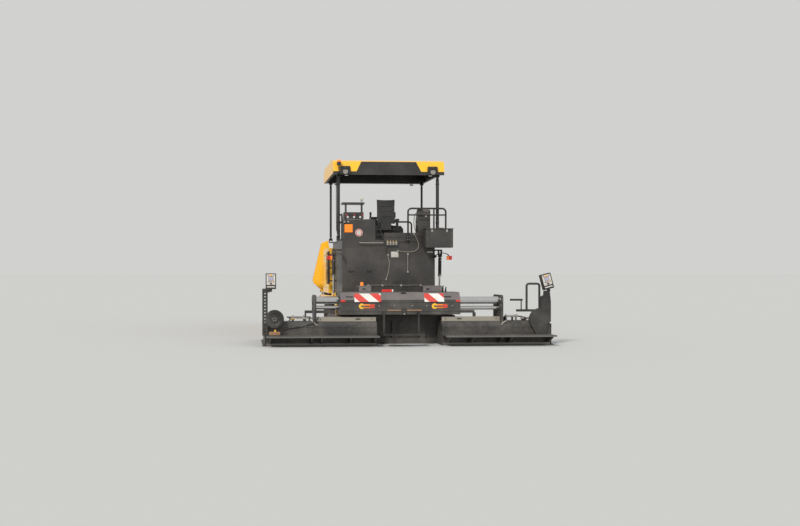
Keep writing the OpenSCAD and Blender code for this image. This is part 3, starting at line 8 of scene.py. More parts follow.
import bmesh
import bpy
from mathutils import Matrix, Vector


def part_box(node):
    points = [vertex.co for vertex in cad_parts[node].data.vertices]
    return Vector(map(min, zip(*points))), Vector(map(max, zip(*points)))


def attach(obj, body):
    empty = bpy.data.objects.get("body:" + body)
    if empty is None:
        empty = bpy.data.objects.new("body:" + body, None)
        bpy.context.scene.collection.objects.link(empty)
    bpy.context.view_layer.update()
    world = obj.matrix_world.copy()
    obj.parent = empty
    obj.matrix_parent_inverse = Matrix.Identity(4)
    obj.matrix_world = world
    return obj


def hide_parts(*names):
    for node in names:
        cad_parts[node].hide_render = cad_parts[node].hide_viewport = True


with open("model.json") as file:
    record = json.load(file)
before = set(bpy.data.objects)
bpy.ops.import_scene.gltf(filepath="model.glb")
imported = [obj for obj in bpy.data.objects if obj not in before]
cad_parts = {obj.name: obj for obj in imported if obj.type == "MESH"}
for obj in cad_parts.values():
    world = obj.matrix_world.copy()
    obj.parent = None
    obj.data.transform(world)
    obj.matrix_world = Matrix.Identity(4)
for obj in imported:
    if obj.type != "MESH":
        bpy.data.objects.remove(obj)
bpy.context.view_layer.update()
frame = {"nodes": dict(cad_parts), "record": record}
rng = random.Random(11)

# Materials

MAT = {}


def add_node(tree, kind, inputs, **settings):
    """A shader node with its settings; each input is a value, or an output of another node."""
    node = tree.nodes.new("ShaderNode" + kind)
    for key, value in settings.items():
        setattr(node, key, value)
    for key, value in inputs.items():
        if isinstance(value, bpy.types.NodeSocket):
            tree.links.new(value, node.inputs[key])
        else:
            node.inputs[key].default_value = value
    return node.outputs


def new_material(name, values):
    """A material with some values of its main shader; gives its tree and that shader's inputs."""
    mat = bpy.data.materials.new(name)
    mat.use_nodes = True
    MAT[name] = mat
    inputs = mat.node_tree.nodes["Principled BSDF"].inputs
    for key, value in values.items():
        inputs[key].default_value = value
    return mat.node_tree, inputs


def surface(name, color, rough, metal=0.0, dust=0.25, dust_color=(0.30, 0.27, 0.235),
            grain=0.0, rough_spread=0.12, coat=0.0, scale=1.0):
    """Procedural finish: a base colour, drifting dust that thickens towards the ground, and fine grain."""
    tree, shader = new_material(name, {"Metallic": metal, "Coat Weight": coat})
    coords = add_node(tree, "TexCoord", {})["Object"]

    def noise(size, detail):
        return add_node(tree, "TexNoise", {"Vector": coords, "Scale": size * scale, "Detail": detail,
                                           "Roughness": 0.55})["Fac"]

    def ramp(value, low, high):
        return add_node(tree, "MapRange", {"Value": value, "From Min": low, "From Max": high})[0]

    def join(kind, first, second):
        return add_node(tree, "Math", {0: first, 1: second}, operation=kind)[0]

    patches = ramp(noise(2.3, 5.0), 0.42, 0.72)
    specks = ramp(noise(38.0, 3.0), 0.50, 0.72)
    height = ramp(add_node(tree, "SeparateXYZ", {"Vector": coords})["Z"], 2.2, 0.1)
    mask = join("ADD", join("MULTIPLY", patches, 0.65), join("MULTIPLY", specks, 0.35))
    mask = join("MULTIPLY", mask, join("ADD", join("MULTIPLY", height, 0.75), 0.45))
    mask = join("MULTIPLY", mask, dust)
    mix = add_node(tree, "Mix", {0: mask, 6: (*color, 1.0), 7: (*dust_color, 1.0)}, data_type="RGBA")
    tree.links.new(mix[2], shader["Base Color"])
    spread = add_node(tree, "MapRange", {"Value": noise(9.0, 4.0), "To Min": max(rough - rough_spread, 0.02),
                                         "To Max": min(rough + rough_spread, 1.0)})
    tree.links.new(spread[0], shader["Roughness"])
    if grain > 0:
        bump = add_node(tree, "Bump", {"Height": noise(120.0, 4.0), "Strength": grain, "Distance": 0.002})
        tree.links.new(bump["Normal"], shader["Normal"])


def glow(name, color, strength, rough=0.25):
    """A glossy lens that shines with a strength of its own."""
    new_material(name, {"Base Color": (*color, 1.0), "Roughness": rough, "Coat Weight": 0.5,
                        "Emission Color": (*color, 1.0), "Emission Strength": strength})


surface("chassis_steel", (0.045, 0.043, 0.042), 0.62, dust=0.5, grain=0.25)
surface("track_rubber", (0.022, 0.021, 0.021), 0.82, dust=0.85, grain=0.6)
surface("worn_steel", (0.20, 0.19, 0.18), 0.42, metal=0.85, dust=0.45, grain=0.3)
surface("engine_iron", (0.05, 0.05, 0.052), 0.6, dust=0.3, grain=0.4)
surface("yellow_paint", (0.93, 0.50, 0.018), 0.34, dust=0.3, coat=0.35, dust_color=(0.42, 0.34, 0.22))
surface("body_grey", (0.034, 0.031, 0.029), 0.48, dust=0.28, grain=0.12, coat=0.1)
surface("black_paint", (0.013, 0.0125, 0.012), 0.45, dust=0.24, grain=0.1)
surface("screed_grey", (0.026, 0.0245, 0.023), 0.55, dust=0.35, grain=0.3)
surface("cover_grey", (0.042, 0.039, 0.036), 0.5, dust=0.3, grain=0.1)
surface("chrome_rod", (0.62, 0.62, 0.63), 0.16, metal=1.0, dust=0.12, rough_spread=0.06)
surface("seat_fabric", (0.018, 0.018, 0.020), 0.9, dust=0.35, grain=0.8, scale=2.0)
surface("seat_plastic", (0.015, 0.015, 0.016), 0.55, dust=0.3)
glow("lamp_red", (0.55, 0.012, 0.008), 0.15)
glow("lamp_glass", (0.75, 0.75, 0.72), 0.05, 0.12)
surface("galvanised", (0.34, 0.31, 0.255), 0.55, metal=0.35, dust=0.5, grain=0.2)
surface("hose_rubber", (0.20, 0.175, 0.14), 0.7, dust=0.5, grain=0.3)
surface("white_paint", (0.72, 0.70, 0.66), 0.45, dust=0.4)
surface("red_paint", (0.60, 0.035, 0.022), 0.42, dust=0.3)
glow("orange_lens", (0.90, 0.22, 0.01), 0.25)
surface("pale_label", (0.55, 0.53, 0.48), 0.5, dust=0.5)
surface("zinc", (0.46, 0.44, 0.40), 0.42, metal=0.8, dust=0.5, grain=0.15)
surface("brass", (0.55, 0.36, 0.12), 0.38, metal=0.9, dust=0.35)
surface("rust", (0.26, 0.15, 0.085), 0.8, dust=0.4, grain=0.6)
surface("screen", (0.02, 0.028, 0.032), 0.12, dust=0.08, coat=0.6)
surface("box_face", (0.60, 0.56, 0.51), 0.5, dust=0.25)
glow("lamp_dim", (0.26, 0.235, 0.21), 0.0, 0.14)
surface("screen_pale", (0.40, 0.38, 0.50), 0.2, dust=0.15, coat=0.5)
surface("timber", (0.30, 0.155, 0.07), 0.8, dust=0.35, grain=0.6)
surface("bevel_grey", (0.12, 0.105, 0.105), 0.5, dust=0.4, grain=0.15)
surface("pad_rubber", (0.020, 0.020, 0.020), 0.85, dust=0.6, grain=0.5)

for entry in frame["record"]["subparts"]:
    for place in frame["nodes"][entry["node"]].material_slots:
        place.material = MAT[entry["material_slot"]]

# The materials that come up most
BLACK, YELLOW, ORANGE = "black_paint", "yellow_paint", "orange_lens"
STEEL, WORN, ZINC, RUBBER = "chassis_steel", "worn_steel", "zinc", "pad_rubber"

# Tools for shapes

UP, FRONT = Vector((0, 0, 1)), Vector((0, 1, 0))
REAR = -FRONT
SIDES = (("left", -1), ("right", 1))
# A point from its two places in a plane and its place along the axis across that plane
ACROSS = {"X": lambda u, v, w: Vector((w, u, v)), "Y": lambda u, v, w: Vector((u, w, v)),
          "Z": lambda u, v, w: Vector((u, v, w))}
# Turns of the bars in a tread pattern
DIAGONAL = [Matrix.Rotation(math.radians(turn), 4, "Z") for turn in (-45, 45)]


def circle(centre, axis, radius, count, start=0.0):
    """Points round an axis; start is the angle of the first one in degrees."""
    turns = [math.radians(start) + 2 * math.pi * k / count for k in range(count)]
    return [Vector(centre) + ACROSS[axis](radius * math.cos(t), radius * math.sin(t), 0) for t in turns]


def steps(first, step, count):
    return [first + i * step for i in range(count)]


def rectangle(u0, v0, u1, v1):
    return [(u0, v0), (u1, v0), (u1, v1), (u0, v1)]


def smooth_path(points, closed=False, step=4):
    """Catmull-Rom points through the given ones."""
    if len(points) == 2:
        return points
    out = []
    count = len(points)
    for i in range(count if closed else count - 1):
        p0 = points[i - 1] if (i or closed) else points[0]
        p1, p2 = points[i], points[(i + 1) % count]
        p3 = points[(i + 2) % count] if (i + 2 < count or closed) else points[-1]
        for k in range(step):
            t = k / step
            out.append(0.5 * ((2 * p1) + (p2 - p0) * t + (2 * p0 - 5 * p1 + 4 * p2 - p3) * t * t
                              + (3 * p1 - p0 - 3 * p2 + p3) * t ** 3))
    return out if closed else out + [points[-1]]


class Piece:
    """Collects solids with their materials in one mesh, which then rides on a body."""

    def __init__(self, name):
        self.name = name
        self.bm = bmesh.new()
        self.slots = []

    def paint(self, faces, material):
        if material not in self.slots:
            self.slots.append(material)
        for face in faces:
            face.material_index = self.slots.index(material)

    def put(self, verts, place, material):
        """Moves the vertices of a new form to its place and paints its faces."""
        bmesh.ops.transform(self.bm, matrix=place, verts=verts)
        self.paint({f for v in verts for f in v.link_faces}, material)

    def skin(self, rings, material, closed=False):
        """Faces between rings of points; the last ring meets the first, or both get an end face."""
        rings = [[self.bm.verts.new(point) for point in ring] for ring in rings]
        outlines = [] if closed else [rings[0][::-1], rings[-1]]
        for a, b in zip(rings, rings[1:] + rings[:1] if closed else rings[1:]):
            outlines += [(a[k - 1], a[k], b[k], b[k - 1]) for k in range(len(a))]
        self.paint([self.bm.faces.new(outline) for outline in outlines], material)

    def box(self, a, b, material, bevel=0.003, turn=None):
        """A box between two opposite corners; turn is a matrix about its middle."""
        size = [abs(far - near) for near, far in zip(a, b)]
        middle = Matrix.Translation((Vector(a) + Vector(b)) / 2)
        verts = bmesh.ops.create_cube(self.bm, size=1.0)["verts"]
        self.put(verts, middle @ (turn or Matrix.Identity(4)) @ Matrix.Diagonal((*size, 1.0)), material)
        bevel = min(bevel, 0.3 * min(size))
        if bevel > 0.0004:
            edges = list({e for v in verts for e in v.link_edges})
            cut = bmesh.ops.bevel(self.bm, geom=edges, offset=bevel, segments=2, profile=0.7,
                                  affect="EDGES", material=-1)
            self.paint([f for f in cut["faces"] if f.is_valid], material)

    def rod(self, a, b, radius, material, sides=20, top=None):
        """A round bar from a to b, or a cone where top gives the radius at b."""
        a, b = Vector(a), Vector(b)
        made = bmesh.ops.create_cone(self.bm, cap_ends=True, segments=sides, radius1=radius,
                                     radius2=radius if top is None else top, depth=(b - a).length)
        turn = (b - a).to_track_quat("Z", "Y").to_matrix().to_4x4()
        self.put(made["verts"], Matrix.Translation((a + b) / 2) @ turn, material)

    def stub(self, at, way, length, radius, material, sides=20, top=None):
        """A rod from a point, by its length along a way."""
        self.rod(at, Vector(at) + length * Vector(way), radius, material, sides, top)

    def bolts(self, points, way, size, material=ZINC):
        """Hexagon heads with their washers, standing out of a face."""
        for at in points:
            self.stub(at, way, 0.25 * size, 1.25 * size, material, 16)
            self.stub(Vector(at) + 0.25 * size * Vector(way), way, 0.65 * size, size, material, 6)

    def flange(self, at, axis, way, thick, radius, ring, material=STEEL, sides=32):
        """A round plate on a face with bolts on it: their circle's radius, number, size and first angle."""
        self.stub(at, way, thick, radius, material, sides)
        far, count, size, start = ring
        self.bolts(circle(Vector(at) + thick * Vector(way), axis, far, count, start), way, size)

    def ball(self, at, radius, material, squash):
        made = bmesh.ops.create_uvsphere(self.bm, u_segments=16, v_segments=10, radius=radius)
        self.put(made["verts"], Matrix.Translation(at) @ Matrix.Diagonal((*squash, 1.0)), material)

    def sweep(self, points, radius, material, sides=10, closed=False):
        """A round tube along a smooth path through the points."""
        path = smooth_path([Vector(p) for p in points], closed)
        count = len(path)
        side = None
        rings = []
        for i, point in enumerate(path):
            before = path[i - 1] if (i or closed) else point
            after = path[(i + 1) % count] if (i < count - 1 or closed) else point
            along = (after - before).normalized()
            if side is None:
                side = along.orthogonal().normalized()
            side = (side - side.dot(along) * along).normalized()
            other = along.cross(side)
            rings.append([point + p.x * side + p.y * other for p in circle((0, 0, 0), "Z", radius, sides)])
        self.skin(rings, material, closed)

    def prism(self, outline, axis, start, end, material):
        """An outline of (u, v) points, extruded along X, Y or Z from start to end."""
        self.skin([[ACROSS[axis](u, v, w) for u, v in outline] for w in (start, end)], material)

    def slab(self, outline, foot, up, out0, out1, material):
        """An outline of (x, up the slope) points, standing off a rear face that leans forwards."""
        out = Vector((0, -up.z, up.y))
        self.skin([[foot + Vector((x, 0, 0)) + u * up + off * out for x, u in outline]
                   for off in (out0, out1)], material)

    def build(self):
        """Turns the piece into a smooth object of the scene."""
        bmesh.ops.recalc_face_normals(self.bm, faces=self.bm.faces[:])
        mesh = bpy.data.meshes.new(self.name)
        self.bm.to_mesh(mesh)
        self.bm.free()
        for material in self.slots:
            mesh.materials.append(MAT[material])
        obj = bpy.data.objects.new(self.name, mesh)
        bpy.context.scene.collection.objects.link(obj)
        mesh.shade_smooth()
        return obj

    def done(self, body):
        """Builds the piece with its edges sharp and lets it ride on a body."""
        obj = self.build()
        obj.data.set_sharp_from_angle(angle=math.radians(35))
        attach(obj, body)


# Roof with its lamps

ROOF_HW = 1.25
TRIM = 0.004
EDGE_X = ROOF_HW + TRIM
ROOF_PROFILE = [(0.76, 3.73), (2.84, 3.73), (2.90, 3.78), (2.78, 3.99), (2.50, 4.05), (1.00, 4.05),
                (0.76, 3.99), (0.715, 3.765)]
# Rear face and the slope above it; the black middle is narrower at its top
REAR_FOOT = Vector((0, 0.715, 3.765))
REAR_TOP = Vector((0, 0.76, 3.99))
SLOPE_TOP = Vector((0, 1.00, 4.05))
REAR_UP = (REAR_TOP - REAR_FOOT).normalized()
REAR_H = (REAR_TOP - REAR_FOOT).length
SLOPE_H = 0.225
MIDDLE_LOW, MIDDLE_HIGH = 0.73, 0.62
LAMP_X = 0.985

trim = Piece("roof_trim")
for _, s in SIDES:
    trim.prism(ROOF_PROFILE, "X", s * ROOF_HW, s * EDGE_X, YELLOW)
    corner = [(s * MIDDLE_LOW, 0.0), (s * EDGE_X, 0.0), (s * EDGE_X, REAR_H), (s * MIDDLE_HIGH, REAR_H)]
    trim.slab(corner, REAR_FOOT, REAR_UP, -0.001, TRIM, YELLOW)
trim.slab(rectangle(-EDGE_X, -0.003, EDGE_X, SLOPE_H), REAR_TOP, (SLOPE_TOP - REAR_TOP).normalized(),
          -0.001, 0.003, YELLOW)
trim.done("roof")

lamps = Piece("roof_lamp_housings")
for x in (-LAMP_X, LAMP_X):
    outline = [(x - 0.13, 3.695), (x + 0.13, 3.695), (x + 0.105, 3.88), (x - 0.105, 3.88)]
    lamps.prism(outline, "Y", 0.688, 0.745, BLACK)
    lamps.rod((x, 0.70, 3.758), (x, 0.670, 3.755), 0.068, BLACK, 28)
    lamps.stub((x, 0.671, 3.755), REAR, 0.005, 0.057, "lamp_dim", 28)
    lamps.box((x - 0.02, 0.680, 3.835), (x + 0.02, 0.690, 3.865), "cover_grey")
lamps.done("roof")

# Clamps and the lamps' cable on the rear posts, then the beacon
POST_X, POST_Y = 1.125, 0.83
posts = Piece("post_details")
for x, z in product((-POST_X, POST_X), (2.42, 2.62, 3.48)):
    posts.stub((x, POST_Y, z), UP, 0.035, 0.042, BLACK, 24)
posts.sweep([(-1.168, 0.83, 2.45), (-1.172, 0.83, 2.9), (-1.172, 0.84, 3.3), (-1.168, 0.83, 3.6)],
            0.007, RUBBER, 8)
posts.done("rear_posts")
beacon = Piece("roof_beacon")
x, y = -1.13, 0.668
beacon.box((x - 0.02, y, 3.715), (x + 0.02, 0.715, 3.735), BLACK)
beacon.stub((x, y, 3.715), UP, 0.185, 0.012, BLACK)
beacon.stub((x, y, 3.89), UP, 0.075, 0.047, BLACK, 28)
beacon.stub((x, y, 3.965), UP, 0.037, 0.044, ORANGE, 28, 0.038)
beacon.ball((x, y, 4.002), 0.038, ORANGE, (1, 1, 0.5))
beacon.done("roof")

# Rear wall

WALL_Y = 0.76
wall = Piece("rear_wall_details")


def on_wall(x0, z0, x1, z1, material, out=0.004, bevel=0.0015):
    wall.box((x0, WALL_Y - out, z0), (x1, WALL_Y + 0.0005, z1), material, bevel)


def from_wall(x, z, near, far, radius, material, sides):
    """A round thing, from one distance behind the wall to another."""
    wall.rod((x, WALL_Y - near, z), (x, WALL_Y - far, z), radius, material, sides)


on_wall(-0.995, 2.405, -0.815, 2.585, ORANGE, 0.012)
from_wall(-0.671, 2.398, 0.0, 0.006, 0.082, "white_paint", 40)
from_wall(-0.671, 2.398, 0.001, 0.0075, 0.074, "red_paint", 40)
from_wall(-0.671, 2.398, 0.001, 0.009, 0.056, "pale_label", 40)
on_wall(0.055, 1.850, 0.220, 1.975, "pale_label", 0.005)
on_wall(0.873, 1.950, 0.999, 1.986, "pale_label", 0.003)
for x in (-1.0, -0.915):
    from_wall(x, 2.64, 0.0, 0.035, 0.030, BLACK, 24)
    from_wall(x, 2.64, 0.035, 0.040, 0.024, "lamp_dim", 24)
# Silver hand rail, a cable and the valve cluster
RAIL = ((-0.671, 0.005), (-0.667, 0.045), (-0.62, 0.05), (-0.18, 0.05), (-0.132, 0.045), (-0.127, 0.005))
CABLE = ((-0.227, 0.02, 2.60), (-0.19, 0.03, 2.45), (-0.10, 0.03, 2.25), (-0.06, 0.03, 2.14),
         (-0.06, 0.02, 1.95))
wall.sweep([(x, WALL_Y - out, 2.17) for x, out in RAIL], 0.011, ZINC)
wall.sweep([(x, WALL_Y - out, z) for x, out, z in CABLE], 0.010, RUBBER)
for x in (-0.03, 0.035, 0.10, 0.165):
    wall.box((x - 0.022, WALL_Y - 0.05, 2.12), (x + 0.022, WALL_Y, 2.20), ZINC, 0.004)
    wall.stub((x, WALL_Y - 0.028, 2.20), UP, 0.035, 0.012, "brass", 6)
    from_wall(x, 2.16, 0.05, 0.075, 0.010, "brass", 6)
# Toe band, seam, access panels and their bolts
on_wall(-0.10, 2.296, 1.05, 2.40, "body_grey", 0.006)
on_wall(-0.10, 2.188, 1.05, 2.204, BLACK, 0.005)
for x0, z0, x1, z1 in ((-0.96, 1.12, -0.34, 2.05), (-0.26, 1.12, 0.42, 1.78), (0.50, 1.12, 0.98, 1.88)):
    on_wall(x0, z0, x1, z1, "body_grey", 0.005, 0.002)
    heights = (z0 + 0.035, (z0 + z1) / 2, z1 - 0.035)
    wall.bolts(product((x0 + 0.035, x1 - 0.035), (WALL_Y - 0.005,), heights), REAR, 0.008, STEEL)
for x in (-0.86, -0.44):
    wall.box((x - 0.05, WALL_Y - 0.02, 1.52), (x + 0.05, WALL_Y - 0.004, 1.56), BLACK, 0.004)
# Pull rod with its eyes
wall.stub((0.429, WALL_Y - 0.02, 1.52), UP, 0.40, 0.007, ZINC, 10)
for z in (1.52, 1.92):
    wall.box((0.41, WALL_Y - 0.032, z - 0.02), (0.448, WALL_Y, z + 0.02), ZINC)
# Hose ends on the wall
for x, z in ((0.571, 2.37), (0.20, 1.99), (-0.02, 1.90), (-0.06, 1.35)):
    from_wall(x, z, 0.0, 0.03, 0.020, ZINC, 6)
wall.done("tractor")

# Tail lamps: lens fields on the CAD housings, covers of their arms and the arms' feet
LENS_X, LENS_W = 1.290, 0.110 / 3
tails = Piece("tail_lamp_lenses")
for _, s in SIDES:
    for x, material in zip(steps(LENS_X, LENS_W, 3), (ORANGE, "red_paint", "lamp_red")):
        tails.box((s * (x + 0.002), 0.604, 1.794), (s * (x + LENS_W - 0.002), 0.611, 1.876), material)

    def arm_point(t, off):
        t = math.radians(t)
        return s * (1.195 + (0.15 + off) * math.sin(t)), 1.87 + (0.075 + off) * math.cos(t)

    tails.box((s * 1.028, 0.6435, 1.838), (s * 1.061, 0.6725, 1.902), BLACK, 0.002)
    tails.box((s * 1.028, 0.6535, 1.843), (s * 1.0515, 0.7585, 1.897), BLACK, 0.0)
    for t in range(-90, 90, 15):
        quad = [arm_point(*corner) for corner in rectangle(t, -0.008, t + 15, 0.008)]
        tails.prism(quad, "Y", 0.648, 0.682, BLACK)
tails.done("tractor")

# Screed housing

SCREED_HW = 1.25
HOUSING_Y = -0.62
BEVEL_LOW = Vector((0, HOUSING_Y, 0.94))
BEVEL_UP = Vector((0, 0.09, 0.16)).normalized()
CHEVRON_U = (-0.045, 0.150)
STRIPE = 0.19
PERIOD = 0.40
screed = Piece("screed_rear_details")


def on_bevel(outline, out0, out1, material):
    """An outline on the housing's sloping top edge."""
    screed.slab(outline, BEVEL_LOW, BEVEL_UP, out0, out1, material)


def on_housing(x0, z0, x1, z1, out, material, bevel=0.003):
    screed.box((x0, HOUSING_Y - out, z0), (x1, HOUSING_Y, z1), material, bevel)


def clip_x(outline, limit, keep_above):
    """Cuts a convex outline at x = limit."""
    out = []
    for i, (x1, y1) in enumerate(outline):
        x0, y0 = outline[i - 1]
        inside0, inside1 = ((x >= limit) == keep_above or x == limit for x in (x0, x1))
        if inside0 != inside1:
            t = (limit - x0) / (x1 - x0)
            out.append((limit, y0 + t * (y1 - y0)))
        if inside1:
            out.append((x1, y1))
    return out


def chevron(x0, x1, x):
    """A striped red and white warning plate; its first stripe's top starts at x."""
    low, high = CHEVRON_U
    on_bevel(rectangle(x0, low, x1, high), 0.0005, 0.004, "white_paint")
    while x < x1:
        stripe = [(x + high - low, low), (x + high - low + STRIPE, low), (x + STRIPE, high), (x, high)]
        stripe = clip_x(clip_x(stripe, x0, True), x1, False)
        if len(stripe) > 2:
            on_bevel(stripe, 0.001, 0.0046, "red_paint")
        x += PERIOD


chevron(-0.963, -0.411, -1.05)
chevron(0.494, 0.905, 0.40)
on_bevel(rectangle(-SCREED_HW, 0.004, SCREED_HW, 0.179), 0.0002, 0.0016, "bevel_grey")
# Recessed handles at both ends
for x0, x1 in ((0.925, 1.055), (-1.13, -1.0)):
    places = ((x0, 0.045), (x0 + 0.012, 0.020), (x1 - 0.012, 0.020), (x1, 0.045))
    screed.sweep([(x, HOUSING_Y + deep, 1.012) for x, deep in places], 0.007, RUBBER)
# Rear face: bolts, worn strips, latch, end markers and seams
screed.bolts([(x, HOUSING_Y, 0.82) for x in (-0.87, -0.45, -0.13, 0.24, 0.545, 1.08)], REAR, 0.010)
for x0, x1 in ((-0.276, 0.008), (0.131, 0.437)):
    on_housing(x0, 0.712, x1, 0.742, 0.012, "rust", 0.002)
on_housing(0.025, 0.675, 0.115, 0.765, 0.03, BLACK, 0.012)
screed.stub((0.07, HOUSING_Y - 0.028, 0.655), FRONT, 0.016, 0.018, ZINC, 16)
on_bevel([(0.015, 0.145), (0.125, 0.145), (0.095, 0.195), (0.045, 0.195)], 0.001, 0.020, BLACK)
for x in (-0.814, 0.705):
    screed.stub((x, HOUSING_Y, 0.813), REAR, 0.010, 0.058, YELLOW, 36)
    on_housing(x + 0.01, 0.774, x + 0.270, 0.852, 0.008, ORANGE, 0.006)
    on_housing(x + 0.170, 0.776, x + 0.268, 0.850, 0.0085, "red_paint", 0.005)
    screed.box((x - 0.012, HOUSING_Y - 0.022, 0.800), (x + 0.165, HOUSING_Y - 0.006, 0.828), RUBBER, 0.006)
for _, s in SIDES:
    on_housing(s * 1.155, 0.900, s * 1.245, 0.945, 0.006, "red_paint")
for z in (0.70, 0.885):
    on_housing(-1.245, z, 1.245, z + 0.006, 0.003, BLACK, 0.0)
# Lamp bar, beacon, and boxes with their hoses and joints on top of the housing
for x0, x1, material in ((-0.381, -0.165, "lamp_red"), (-0.165, -0.139, "white_paint")):
    screed.box((x0, HOUSING_Y + 0.092, 1.106), (x1, HOUSING_Y + 0.10, 1.156), material)
screed.stub((-0.78, -0.42, 1.232), UP, 0.063, 0.036, ORANGE, 28, 0.032)
screed.ball((-0.78, -0.42, 1.295), 0.032, ORANGE, (1, 1, 0.4))
for x0, x1 in ((-0.85, -0.60), (0.49, 0.89)):
    screed.box((x0 - 0.006, HOUSING_Y + 0.104, 1.214), (x1 + 0.006, HOUSING_Y + 0.326, 1.233),
               "bevel_grey", 0.004)
    screed.box((x0 - 0.001, HOUSING_Y + 0.107, 1.108), (x1 + 0.001, HOUSING_Y + 0.112, 1.222),
               "bevel_grey", 0.002)
    screed.bolts([(x, HOUSING_Y + 0.11, 1.165) for x in (x0 + 0.03, x1 - 0.03)], REAR, 0.008)
    screed.box((x0 + 0.07, HOUSING_Y + 0.10, 1.150), (x0 + 0.13, HOUSING_Y + 0.112, 1.180), BLACK, 0.004)
for x, drop in ((0.93, 0.0), (0.99, 0.03), (-0.90, 0.02)):
    screed.sweep([(x, -0.45, 1.102), (x, -0.44, 1.20 - drop), (x + 0.02, -0.38, 1.23 - drop),
                  (x + 0.03, -0.30, 1.20 - drop), (x + 0.03, -0.26, 1.102)], 0.011, RUBBER)
for x in (-0.60, -0.30, 0.10, 0.52):
    screed.rod((x - 0.02, -0.13, 1.23), (x + 0.02, -0.13, 1.23), 0.027, ZINC, 6)
screed.done("screed")

# Extension units

UNIT_W, BRACKET_W, BOLT_ON_W = 1.25, 0.04, 1.0
UNIT_REAR_Y = -0.64
BOARD_Z = 0.225
BAR_STEP = 0.045
UNIT_X0 = {"left": 0.50, "right": 0.86}
# Guide tubes: their places across, then the height and radius of each pair's tubes
TUBE_Y = {"left": -0.21, "right": -0.45}
TUBES = ((0.925, 0.08), (0.770, 0.042))
# On each bolted box: the spindle's ends, its lugs and the plates (from, to, height, material)
SPINDLE_Y, SPINDLE_Z = -0.46, 0.585
SPINDLES = {
    "left": ((0.06, 0.56), (0.21, 0.43), ((0.02, 0.37, 0.562, ZINC), (0.39, 0.49, 0.548, "brass"))),
    "right": ((0.08, 0.45), (0.115, 0.33), ((0.10, 0.37, 0.60, ZINC), (0.405, 0.59, 0.552, "pale_label"))),
}
HAND_HOSE = [(-2.43, -0.652, 0.335), (-2.36, -0.653, 0.365), (-2.10, -0.653, 0.40), (-1.90, -0.653, 0.45),
             (-1.76, -0.652, 0.53), (-1.70, -0.645, 0.60)]

